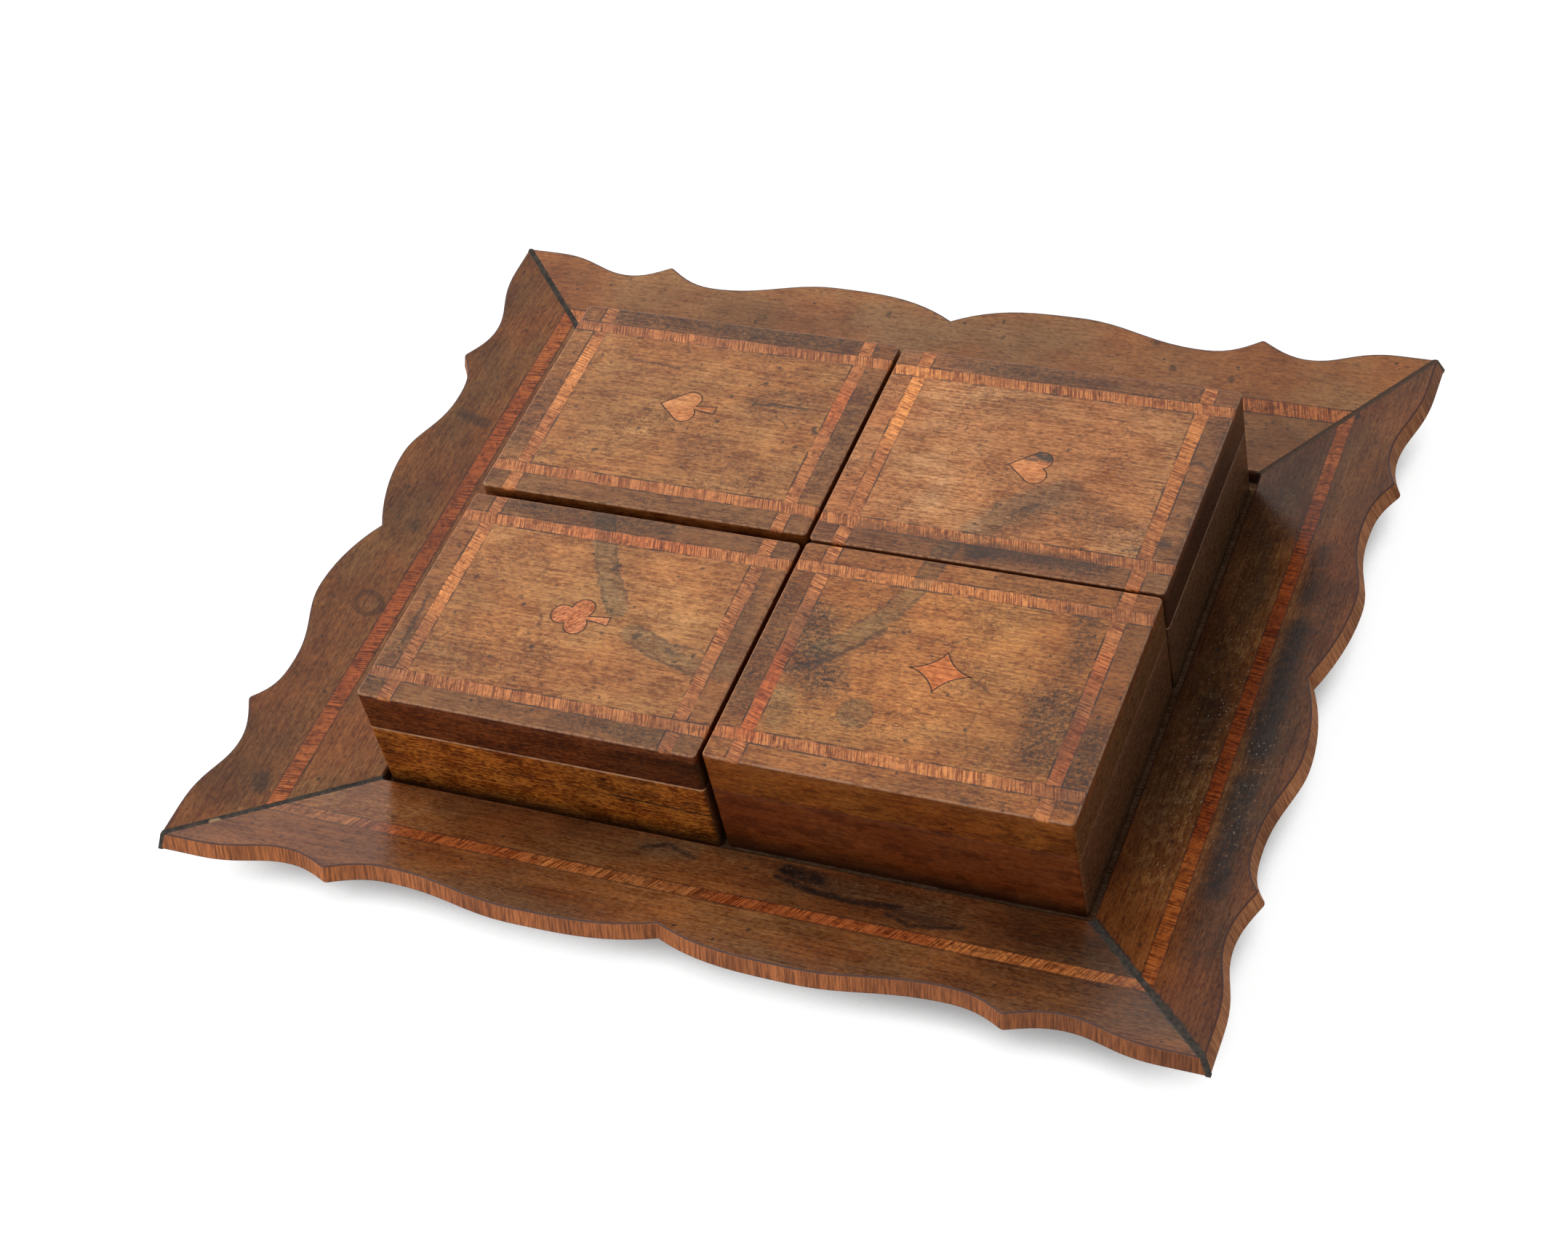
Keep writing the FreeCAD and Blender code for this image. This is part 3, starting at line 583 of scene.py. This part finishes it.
def inlay_material(suit):
    g = Surface(suit + "_inlay")
    flat = g.from_above()
    grain, spread = flat, 0.8
    if suit == "club":
        # This one's grain is stronger and runs askew.
        grain = g.join(g.math("ADD", g.x, g.math("MULTIPLY", g.y, 0.8)),
                       g.math("SUBTRACT", g.y, g.math("MULTIPLY", g.x, 0.8)))
        spread = 1.5
    colour, height = wood(g, grain, INLAY_TONES[suit], SUITS.index(suit) + 5, spread, 0.15)
    wobble = g.noise(flat, 0.5, 3, 0.6)
    place = g.warped(flat, 0.5, 2.0)
    share = g.ramp(wobble, 0.3, 0.5, 0.6, 1.0)
    stain = g.marks(place, near_lid(INLAY_STAINS, suit), share)
    colour = g.mix(stain, colour, (0.045, 0.035, 0.028))
    colour = g.speckled(colour, flat, 0.7, 0.2, 0.3, 0.4)
    roughness = g.math("MULTIPLY_ADD", wobble, 0.20, 0.34)
    return g.finish(colour, roughness, height, 0.03)


def outline_material():
    g = Surface("inlay_outline")
    wobble = g.noise(g.point, 0.8, 3, 0.6)
    colour = g.mix(g.ramp(wobble, 0.45, 0.65), (0.022, 0.011, 0.007), (0.10, 0.040, 0.018))
    return g.finish(colour, g.math("MULTIPLY_ADD", wobble, 0.2, 0.5), wobble, 0.02)


def side_material(suit, part):
    """Box sides, or the sides of a lid."""
    lid = part == "lid"
    place = 0 if lid else 1
    g = Surface(suit + "_" + part + "_side")
    colour, height = side_wood(g, suit, place)
    wobble = g.noise(g.point, (0.25, 0.25, 0.5), 3, 0.6)
    near = g.math("ABSOLUTE", g.math("SUBTRACT", g.z, SEAM_HEIGHT))
    # Painted shade in the seam between lid and box, less where the seam is pale.
    seam_shade = g.math("MULTIPLY", g.ramp(near, 0.9, 0.4), 1 - SEAM_WEAR_AND_HIGHLIGHT[suit])
    colour = g.tint(colour, seam_shade, (0.78, 0.74, 0.74))
    if not lid:
        # The pale line at the seam: wear with a painted highlight.
        wear_and_highlight = g.math("MULTIPLY", g.ramp(near, 0.60, 0.20), g.ramp(wobble, 0.35, 0.55, 0.35, 1.0))
        wear_and_highlight = g.math("MULTIPLY", wear_and_highlight, SEAM_WEAR_AND_HIGHLIGHT[suit])
        colour = g.mix(wear_and_highlight, colour, (0.50, 0.24, 0.11))
        # Painted shade low on the box, near the tray.
        foot_shade = g.ramp(g.z, 12.0, 5.0, 0, 0.6)
        colour = g.mix(foot_shade, colour, (0.04, 0.016, 0.008))
        if suit == "club":
            front = g.math("LESS_THAN", g.y, CLUB_FRONT_Y)
            colour = g.mix(g.marks(g.join(g.x, g.z), CLUB_CRACK, front), colour, BLACK)
    colour = g.speckled(colour, g.point, 0.35, 0.18, 0.25, 0.5)
    murk = g.ramp(g.noise(g.point, (0.12, 0.12, 0.25), 3, 0.6), 0.50, 0.62, 0, 0.6)
    colour = g.tint(colour, murk, (0.42, 0.34, 0.34))
    scuff = g.math("MULTIPLY", g.ramp(wobble, 0.58, 0.70), 0.30)
    colour = g.tint(colour, scuff, (1.9, 2.1, 2.4))
    if lid and suit == "club":
        colour = g.tint(colour, g.ramp(g.x, -50, -12, 0, 0.8), (0.42, 0.40, 0.45))
    # The right-hand faces get a colour of their own: dirt with painted light and shade.
    right = g.ramp(g.split(g.normal)[0], 0.5, 0.8)
    grime_and_shade = GRIME_AND_SHADE[suit][place]
    low, high = shaded(grime_and_shade, (0.55, 0.52, 0.50)), shaded(grime_and_shade, (1.45, 1.48, 1.50))
    grime_and_shade = g.mix(g.ramp(height, 0.34, 0.62), low, high)
    colour = g.mix(g.math("MULTIPLY", right, 0.8), colour, grime_and_shade)
    roughness = g.math("MULTIPLY_ADD", wobble, 0.26, g.math("MULTIPLY_ADD", seam_shade, 0.6, 0.14))
    return g.finish(colour, roughness, height, 0.05, specular=0.4)


def plain_wood(name, mid, seed, specular=0.5):
    g = Surface(name)
    colour, height = wood(g, g.point, mid, seed)
    colour = g.speckled(colour, g.point, 0.2, 0.16, 0.3, 0.5)
    return g.finish(colour, 0.62, height, 0.06, specular=specular)


# ---- Borders -------------------------------------------------------------------------------
# Marks lie along the border and up its slope: half width, softness, strength, points.
BORDER_SPREAD = {"front": 0.85, "back": 0.5, "left": 0.8, "right": 0.8}
BORDER_SPECULAR = {"front": 0.45, "back": 0.45, "left": 0.38, "right": 0.26}
BORDER_TONES = {
    "front": (0.235, 0.078, 0.019),
    "back": (0.315, 0.112, 0.029),
    "left": (0.205, 0.064, 0.013),
    "right": (0.150, 0.044, 0.009),
}
BORDER_DARK = {
    "front": [(2.0, 2.5, 1.0, [(23, 4.5), (32, 6.0)]),
              (0.8, 1.4, 0.95, [(22, 8), (34, 11.5), (44, 12), (57, 10.5)]),
              (0.5, 1.2, 0.90, [(55, 14), (62, 17), (75, 14)]),
              (1.6, 3.0, 0.60, [(57, 13), (72, 14)]), (0.7, 0.5, 0.8, [(24, 32)]),
              (0.6, 0.5, 0.8, [(115, 25)]), (0.4, 0.4, 0.6, [(-40, 34)]),
              (0.5, 1.2, 0.8, [(-18, 7), (-12, 3.5), (-3, 7.5)])],
    "back": [(0.9, 0.8, 0.7, [(72, 30)]), (0.8, 0.8, 0.7, [(90, 29)]),
             (0.7, 0.8, 0.6, [(65, 38)]), (0.6, 0.7, 0.6, [(-20, 36)]),
             (0.5, 0.6, 0.6, [(18, 33)]), (0.5, 0.6, 0.5, [(-60, 30)])],
    "left": [(1.6, 2.2, 0.7, [(-99, 29.5), (-96, 30)]), (1.4, 2.0, 0.6, [(4, 30.5)]),
             (1.2, 2.5, 0.6, [(50, 29), (50, 36)]),
             (0.5, 0.6, 0.6, [(-60, 38)]), (0.5, 0.6, 0.6, [(75, 30)])],
    "right": [(2.5, 4.0, 0.85, [(-72, 31), (-38, 29.5)]), (2.5, 4.0, 0.90, [(-25, 30), (18, 29)]),
              (1.5, 4.0, 0.70, [(30, 28.5), (48, 28.5)]),
              (2.0, 6.0, 0.60, [(-30, 14), (-8, 12)]), (1.0, 4.0, 0.50, [(30, 14), (52, 10)]),
              (1.2, 0.8, 0.8, [(103, 24), (105, 21)]),
              (0.5, 0.5, 0.7, [(20, 36)]), (0.5, 0.5, 0.6, [(60, 38)])],
}
BORDER_SHADE = {
    "front": [(4, 10, 0.30, [(24, 7), (70, 10)]), (2, 8, 0.30, [(-60, 38), (60, 40)]),
              (10, 16, 0.80, [(92, 18), (124, 24)]), (4, 12, 0.62, [(84, 37), (116, 37)])],
    "back": [(6, 8, 0.55, [(106, 6), (120, 12)]), (2, 6, 0.35, [(-60, 32), (-30, 30)])],
    "left": [(5, 9, 0.35, [(-60, 36), (-20, 36)]), (3, 8, 0.35, [(40, 36), (80, 38)]),
             (3, 7, 0.40, [(-104, 34), (-84, 30)]), (2, 9, 0.35, [(6, 36), (14, 30)])],
    # On the right board the marks low on its slope, beside the boxes, are painted shade; the one
    # beyond the banding darkens the wood.
    "right": [(6, 10, 0.25, [(-60, 12), (40, 12)]), (5, 7, 0.75, [(-90, 33), (30, 33)]),
              (8, 12, 0.65, [(62, 12), (92, 16)])],
}
BORDER_GREY = {
    "front": [(3.0, 3.0, 0.75, [(-16, 6), (-6, 6)]), (3, 5, 0.60, [(60, 10), (74, 10)]),
              (2.5, 3.0, 0.80, [(36, 7), (54, 8)])],
    "back": [(5, 12, 0.30, [(-40, 28), (80, 30)])],
    "left": [(2, 3, 0.40, [(-28, 30)])],
    # On the right board the long grey mark along its inner strip is a painted sheen.
    "right": [(5, 9, 0.45, [(-70, 20), (-45, 12)]), (4, 9, 0.50, [(-40, 8), (30, 8)])],
}
# Where pale dust lies.
BORDER_DUST = {
    "front": [(4, 12, 0.45, [(-110, 20), (-85, 8)]), (3, 8, 0.5, [(-20, 5), (70, 6)])],
    "back": [(3, 8, 0.15, [(60, 30), (110, 30)])],
    "left": [(4, 10, 0.35, [(-110, 30), (-95, 20)])],
    "right": [(6, 12, 0.90, [(-64, 14), (10, 13)]), (5, 14, 0.5, [(20, 10), (70, 10)]),
              (3, 8, 0.6, [(-60, 30), (-20, 30)])],
}
# Darkest and palest tones of the scalloped edge faces.
EDGE_TONES = {
    "front": ((0.23, 0.066, 0.017), (0.63, 0.202, 0.060)),
    "back": ((0.22, 0.060, 0.018), (0.60, 0.190, 0.060)),
    "left": ((0.22, 0.060, 0.018), (0.60, 0.190, 0.060)),
    "right": ((0.38, 0.125, 0.045), (0.84, 0.350, 0.140)),
}
# The dark ring on the left board: centre, radius, width, strength.
LEFT_RING = ((-28.5, 30.3), 3.9, 1.4, 0.55)
# The pale chip in the front left mitre, seen from above.
FILLER_CHIP = [(0.8, 0.5, 0.9, [(-137, -115.0), (-136, -114.2)])]
# How plain the pale line along a border's inner arris is: wear with a painted highlight.
INNER_WEAR_AND_HIGHLIGHT = {"front": 0.6, "back": 0.6, "left": 0.6, "right": 0.1}
# Half widths of the filler's smears along the mitres.
MITRE_SMEARS = (0.4, 1.0, 0.2, 0.5)
BORDER_BAND_TONES = {
    "front": (0.92, 0.88, 0.80),
    "back": (0.95, 0.90, 0.85),
    "left": (0.85, 0.66, 0.50),
    "right": (0.56, 0.42, 0.28),
}
# Where a border's banding is duller and redder.
BAND_DULL = {
    "front": [(3, 10, 0.65, [(-128, 22), (-98, 22)]), (3, 6, 0.5, [(-20, 22), (4, 22)])],
    "back": [(3, 30, 0.3, [(-60, 22), (40, 22)])],
    "left": [(3, 12, 0.4, [(-10, 24), (20, 24)])],
    "right": [(3, 14, 0.4, [(-20, 22), (20, 22)])],
}
BAND_RED = {
    "front": [(3, 9, 0.75, [(-88, 22), (-52, 22)]), (3, 9, 0.75, [(12, 22), (66, 22)])],
    "back": [(3, 9, 0.3, [(100, 22), (120, 22)])],
    "left": [(3, 12, 0.55, [(-60, 24), (60, 24)])],
    "right": [(3, 14, 0.75, [(-50, 22), (60, 22)])],
}


def border_axes(side):
    """Rest-frame vectors along the border, up its slope and out of its face, and its origin."""
    along, out, offset, width = BORDERS[side]
    along, out, up = Vector(along), Vector(out), Vector((0, 0, 1))
    slope = math.asin(BORDER_RISE / width)
    rise = out * math.cos(slope) + up * math.sin(slope)
    face = up * math.cos(slope) - out * math.sin(slope)
    return along, rise, face, out * offset + up * BORDER_INNER_HEIGHT


def border_point(g, side):
    """The point along the border, up its slope and out of its face."""
    *axes, origin = border_axes(side)
    from_origin = g.vector("SUBTRACT", g.point, tuple(origin))
    return [g.vector("DOT_PRODUCT", from_origin, tuple(axis)) for axis in axes]


def banding_line(g, side, u, wide, narrow):
    """Glue lines along both edges of a border's banding."""
    inset = (BORDERS[side][-1] - BANDING_WIDTH) / 2 - BANDING_SHIFT
    line = g.math("ABSOLUTE", g.math("SUBTRACT", u, inset + BANDING_WIDTH / 2))
    line = g.math("ABSOLUTE", g.math("SUBTRACT", line, BANDING_WIDTH / 2))
    return g.ramp(line, wide, narrow)


def scalloped_edge(g, side, flat, a, u, n):
    """Colour of the scalloped edge faces, streaked from face to face."""
    streak = g.noise(g.join(a, u, n), (1.4, 0.05, 0.10), 3, 0.7)
    edge = g.mix(g.ramp(streak, 0.34, 0.66), *EDGE_TONES[side])
    patch = g.ramp(g.noise(flat, 0.05, 2), 0.4, 0.65, 0, 0.6)
    edge = g.tint(edge, patch, (0.42, 0.36, 0.30))
    edge = g.tint(edge, g.ramp(a, 40, 125, 0, 0.5), (0.45, 0.45, 0.50))
    # Painted shade on the edge faces by the board's inner edge, down in the well.
    edge = g.tint(edge, g.ramp(u, 3.0, 1.0, 0, 0.9), (0.12, 0.12, 0.14))
    # Painted shade along the bottom of the edge faces and under the board.
    return g.mix(g.ramp(n, -4.6, -5.4, 0, 0.5), edge, (0.08, 0.026, 0.012))


def border_material(side):
    g = Surface("border_" + side + "_walnut")
    a, u, n = border_point(g, side)
    facing = g.vector("DOT_PRODUCT", g.normal, tuple(border_axes(side)[2]))
    seed = 30 + list(BORDERS).index(side)
    flat = g.join(a, u)
    wobble = g.noise(flat, 0.5, 3, 0.65)
    place = g.warped(flat, 0.3, 2.4)
    grain, spread = g.join(a, u, n), BORDER_SPREAD[side]
    colour, height = wood(g, grain, BORDER_TONES[side], seed, spread, 0.5, 1.9)
    patchy = g.ramp(wobble, 0.40, 0.60, 1.0, 0.75)
    colour = g.tint(colour, g.marks(place, BORDER_SHADE[side], patchy), SHADED)
    colour = g.tint(colour, g.marks(place, BORDER_GREY[side], patchy), (0.85, 1.15, 1.7))
    colour = g.mix(g.marks(place, BORDER_DARK[side], patchy), colour, BLACK)
    if side == "left":
        ring = g.ring(g.warped(flat, 0.3, 1.2), *LEFT_RING)
        colour = g.tint(colour, ring, (0.25, 0.24, 0.26))
    dusty = g.marks(flat, BORDER_DUST[side])
    mottle = g.ramp(g.noise(flat, 0.30, 4, 0.75), 0.46, 0.62)
    colour = g.tint(colour, g.math("MULTIPLY", mottle, dusty), (1.7, 2.2, 2.6))
    dust = g.math("MULTIPLY", g.specks(flat, 0.75, 0.24, 0.5), dusty)
    colour = g.speckled(colour, place, 0.16, 0.12, 0.5, 0.75)
    colour = g.speckled(colour, place, 0.5, 0.22, 0.35, 0.5)
    # Glue lines along the banding, the filled mitres' smears, and the pale inner arris: wear with
    # a painted highlight.
    line = g.broken(banding_line(g, side, u, 0.40, 0.12), flat, 0.10, 0.2, 0.9)
    colour = g.mix(line, colour, DARK)
    plan = g.warped(g.from_above(), 0.3, 2.6)
    smears = [(half, 0.6, 0.9, points) for half, points in zip(MITRE_SMEARS, MITRES)]
    mitre = g.marks(plan, smears)
    colour = g.mix(mitre, colour, (0.03, 0.024, 0.02))
    wear_and_highlight = g.ramp(wobble, 0.38, 0.6, 0.0, INNER_WEAR_AND_HIGHLIGHT[side])
    inner = g.math("MULTIPLY", g.ramp(u, 0.9, 0.2), wear_and_highlight)
    colour = g.mix(inner, colour, (0.33, 0.16, 0.08))
    # The scalloped edges, and the dark line along the arris above them.
    edge = scalloped_edge(g, side, flat, a, u, n)
    colour = g.mix(g.ramp(facing, 0.35, 0.65), edge, colour)
    arris = g.math("MULTIPLY", g.ramp(facing, 0.45, 0.75), g.ramp(facing, 0.999, 0.93))
    colour = g.mix(g.math("MULTIPLY", arris, 0.8), colour, (0.06, 0.024, 0.022))
    colour = g.mix(dust, colour, (0.30, 0.22, 0.15))
    height = g.math("SUBTRACT", height, g.math("MULTIPLY", mitre, 0.6))
    roughness = g.math("MULTIPLY_ADD", wobble, 0.26, g.ramp(facing, 0.7, 0.3, 0.12, 0.5))
    return g.finish(colour, roughness, height, 0.06, specular=BORDER_SPECULAR[side])


def border_banding_material(side):
    g = Surface("border_banding_" + side)
    a, u, _ = border_point(g, side)
    seed = 60.0 + 9 * list(BORDERS).index(side)
    flat = g.join(a, u)
    wobble = g.noise(flat, 0.4, 3, 0.65)
    pitch = 3.4 if side in ("front", "back") else 6.0
    colour, fine = banded(g, a, u, seed, pitch, 0.35)
    colour = g.tint(colour, 1.0, BORDER_BAND_TONES[side])
    colour = g.tint(colour, g.marks(flat, BAND_RED[side]), (0.68, 0.45, 0.40))
    colour = g.tint(colour, g.marks(flat, BAND_DULL[side]), (0.60, 0.66, 0.80))
    colour = g.tint(colour, g.ramp(wobble, 0.50, 0.64, 0, 0.7), (0.34, 0.32, 0.36))
    line = banding_line(g, side, u, 0.45, 0.15)
    colour = g.mix(g.math("MULTIPLY", line, 0.6), colour, DARK)
    roughness = g.math("MULTIPLY_ADD", wobble, 0.26, 0.12)
    height = g.math("MULTIPLY", fine, 0.6)
    return g.finish(colour, roughness, height, 0.05, specular=BORDER_SPECULAR[side])


def filler_material():
    g = Surface("joint_filler_dark")
    lumps = g.noise(g.point, 0.6, 4, 0.65)
    grit = g.noise(g.point, 3.0, 2, 0.6)
    colour = g.mix(g.ramp(lumps, 0.35, 0.65), (0.014, 0.011, 0.009), (0.066, 0.050, 0.037))
    colour = g.mix(g.math("MULTIPLY", g.ramp(grit, 0.62, 0.75), 0.6), colour, (0.16, 0.13, 0.10))
    # Browner in the back right mitre.
    behind = g.math("MULTIPLY", g.ramp(g.y, 0, 40), g.ramp(g.x, 0, 40, 0, 0.75))
    colour = g.mix(behind, colour, (0.075, 0.038, 0.022))
    colour = g.mix(g.marks(g.from_above(), FILLER_CHIP), colour, (0.42, 0.27, 0.15))
    height = g.math("MULTIPLY_ADD", grit, 0.4, lumps)
    return g.finish(colour, 0.72, height, 0.5)


# ---- Meshes --------------------------------------------------------------------------------
JOIN_DISTANCE = 1e-6
FLAT, SMOOTH, ARRIS = (math.radians(angle) for angle in (0.6, 28, 45))    # between two faces
LENGTHWISE = 0.55    # least cosine between an arris and the length of its board


def cad_mesh(node):
    """A clean copy of a node's mesh: shared corners joined, flat faces whole."""
    shape = bmesh.new()
    shape.from_mesh(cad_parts[node].data)
    bmesh.ops.remove_doubles(shape, verts=shape.verts, dist=JOIN_DISTANCE)
    bmesh.ops.dissolve_limit(shape, angle_limit=FLAT, verts=shape.verts, edges=shape.edges)
    return shape


def new_object(name, shape, material):
    mesh = bpy.data.meshes.new(name)
    shape.to_mesh(mesh)
    shape.free()
    mesh.materials.append(material)
    made = bpy.data.objects.new(name, mesh)
    bpy.context.scene.collection.objects.link(made)
    return made


def make_border(side):
    """The border board with its outer and inner arrises eased."""
    along, rise, _, origin = border_axes(side)
    width = BORDERS[side][-1]
    node = "border_" + side
    shape = cad_mesh(node)
    layers = shape.edges.layers.float
    weights = layers.get("bevel_weight_edge") or layers.new("bevel_weight_edge")
    for edge in shape.edges:
        if len(edge.link_faces) != 2:
            continue
        angle = edge.calc_face_angle()
        edge.smooth = angle < SMOOTH
        if angle < ARRIS:
            continue
        middle = (edge.verts[0].co + edge.verts[1].co) / 2 / MM - origin
        up = middle.dot(rise)
        direction = (edge.verts[1].co - edge.verts[0].co).normalized()
        lengthwise = abs(direction.dot(along)) > LENGTHWISE
        if (up > width - SCALLOP_REACH or up < INNER_REACH) and lengthwise:
            edge[weights] = 1.0
    for f in shape.faces:
        f.smooth = True
    made = new_object(node + "_eased", shape, border_material(side))
    bevel = made.modifiers.new("ease", "BEVEL")
    bevel.limit_method = "WEIGHT"
    bevel.width = BORDER_EASE * MM
    bevel.segments = 3
    weighted = made.modifiers.new("normals", "WEIGHTED_NORMAL")
    weighted.keep_sharp = True
    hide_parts(node)
    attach(made, "tray")


def make_inlay(suit, material, outline):
    """The inlay with a thin dark glue line round its face."""
    node = suit + "_lid_inlay"
    shape = cad_mesh(node)
    top = max(shape.faces, key=lambda f: f.calc_center_median().z)
    ring = bmesh.ops.inset_region(shape, faces=[top], thickness=INLAY_RING * MM,
                                  use_even_offset=True)
    for f in ring["faces"]:
        f.material_index = 1
    made = new_object(suit + "_inlay_lined", shape, material)
    made.data.materials.append(outline)
    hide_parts(node)
    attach(made, suit + "_lid")


def dress(node, material):
    """Give a node's own mesh its material."""
    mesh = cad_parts[node].data
    mesh.materials.clear()
    mesh.materials.append(material)


for side in BORDERS:
    make_border(side)
    dress("border_banding_" + side, border_banding_material(side))
dress("mitre_filler", filler_material())
dress("tray_floor", plain_wood("tray_floor_wood", (0.190, 0.095, 0.045), 50, 0.05))
lining = plain_wood("lining_wood", (0.36, 0.180, 0.080), 51)
box_floor = plain_wood("box_floor_wood", (0.32, 0.160, 0.070), 52)
outline = outline_material()
for suit in SUITS:
    lid_side, box_side = side_material(suit, "lid"), side_material(suit, "box")
    dress(suit + "_lid_panel", lid_panel_material(suit))
    dress(suit + "_lid_banding", lid_banding_material(suit))
    make_inlay(suit, inlay_material(suit), outline)
    for part in ("_lid_side_rails", "_lid_end_rails"):
        dress(suit + part, lid_side)
    for part in ("front", "back", "left", "right"):
        dress(suit + "_box_" + part, box_side)
    dress(suit + "_box_lining", lining)
    dress(suit + "_box_floor", box_floor)


# ---- Floor, light and camera, in metres ----------------------------------------------------
FLOOR_REACH, FLOOR_LEVEL = 4.0, -0.0002
FLOOR_WHITE = (0.80, 0.80, 0.80, 1)
GLOW_SHARE = 0.70    # how much of the floor is glow to the camera
SHADE_REACH = 0.017    # how near the object dims the glow
CAMERA_LENS, CAMERA_SENSOR = 66.887, 36    # millimetres
CAMERA_PLACE = (0.291005, -0.496139, 0.605248)
CAMERA_RIGHT = Vector((0.91882552, 0.35629157, -0.16975272))
CAMERA_DOWN = Vector((0.15591558, -0.72282932, -0.67320732))
CAMERA_AHEAD = Vector((-0.36256034, 0.59209297, -0.71970544))


def make_floor():
    mesh = bpy.data.meshes.new("floor")
    corners = [(x * FLOOR_REACH, y * FLOOR_REACH, FLOOR_LEVEL)
               for x, y in ((-1, -1), (1, -1), (1, 1), (-1, 1))]
    mesh.from_pydata(corners, [], [(0, 1, 2, 3)])
    floor = bpy.data.objects.new("floor", mesh)
    bpy.context.scene.collection.objects.link(floor)
    material = bpy.data.materials.new("floor_white")
    material.use_nodes = True
    g = Graph(material.node_tree)
    g.tree.nodes.remove(g.tree.nodes["Principled BSDF"])
    diffuse = g.add("ShaderNodeBsdfDiffuse", {"Color": FLOOR_WHITE})
    # To the camera the floor also glows white, but less close to the object, and the more so
    # towards the object's right: a painted shadow.
    near = g.add("ShaderNodeAmbientOcclusion", {"Distance": SHADE_REACH}, "AO", samples=16)
    x = g.split(g.add("ShaderNodeTexCoord", {}, "Object"))[0]
    clear = g.math("SUBTRACT", near, g.line(x, 0.0, 0.15, 0.0, 0.08))
    glow = g.add("ShaderNodeEmission", {"Strength": g.line(clear, 0.41, 0.62, 0.40, 1.35)})
    seen = g.add("ShaderNodeLightPath", {}, "Is Camera Ray")
    blend = {0: g.math("MULTIPLY", seen, GLOW_SHARE), 1: diffuse, 2: glow}
    surface = g.tree.nodes["Material Output"].inputs["Surface"]
    g.put(g.add("ShaderNodeMixShader", blend), surface)
    mesh.materials.append(material)


def make_world():
    """White to the camera and in reflections, and dimmer as a light."""
    world = bpy.data.worlds.new("studio")
    bpy.context.scene.world = world
    world.use_nodes = True
    g = Graph(world.node_tree)
    path = g.add("ShaderNodeLightPath", {}).node
    seen = g.math("MAXIMUM", path.outputs["Is Camera Ray"], path.outputs["Is Glossy Ray"])
    # The studio is darker on the object's right.
    x = g.split(g.add("ShaderNodeTexCoord", {}, "Generated"))[0]
    level = g.line(x, -0.3, 0.7, 0.50, 0.14)
    background = g.tree.nodes["Background"]
    g.put((1, 1, 1, 1), background.inputs["Color"])
    g.put(g.line(seen, 0.0, 1.0, level, 1.0), background.inputs["Strength"])


def make_lamp(name, direction, distance, size, level):
    """Square area lamp that gives a white surface facing it the brightness level."""
    data = bpy.data.lights.new(name, "AREA")
    data.size = size
    data.energy = level * math.pi ** 2 * distance ** 2
    lamp = bpy.data.objects.new(name, data)
    bpy.context.scene.collection.objects.link(lamp)
    lamp.location = Vector(direction).normalized() * distance
    lamp.rotation_euler = lamp.location.to_track_quat("Z", "Y").to_euler()
    lamp.visible_glossy = False


def make_camera():
    data = bpy.data.cameras.new("camera")
    data.sensor_width = CAMERA_SENSOR
    data.lens = CAMERA_LENS
    data.clip_start = 0.01
    camera = bpy.data.objects.new("camera", data)
    bpy.context.scene.collection.objects.link(camera)
    turn = Matrix((CAMERA_RIGHT, -CAMERA_DOWN, -CAMERA_AHEAD)).transposed().to_4x4()
    camera.matrix_world = Matrix.Translation(CAMERA_PLACE) @ turn
    bpy.context.scene.camera = camera


make_floor()
make_world()
make_lamp("key", direction=(-0.50, 0.45, 0.80), distance=1.2, size=0.8, level=0.55)
make_lamp("fill", direction=(-0.30, -0.80, 0.50), distance=1.3, size=1.0, level=0.30)
make_camera()
bpy.context.scene.view_settings.view_transform = "Standard"
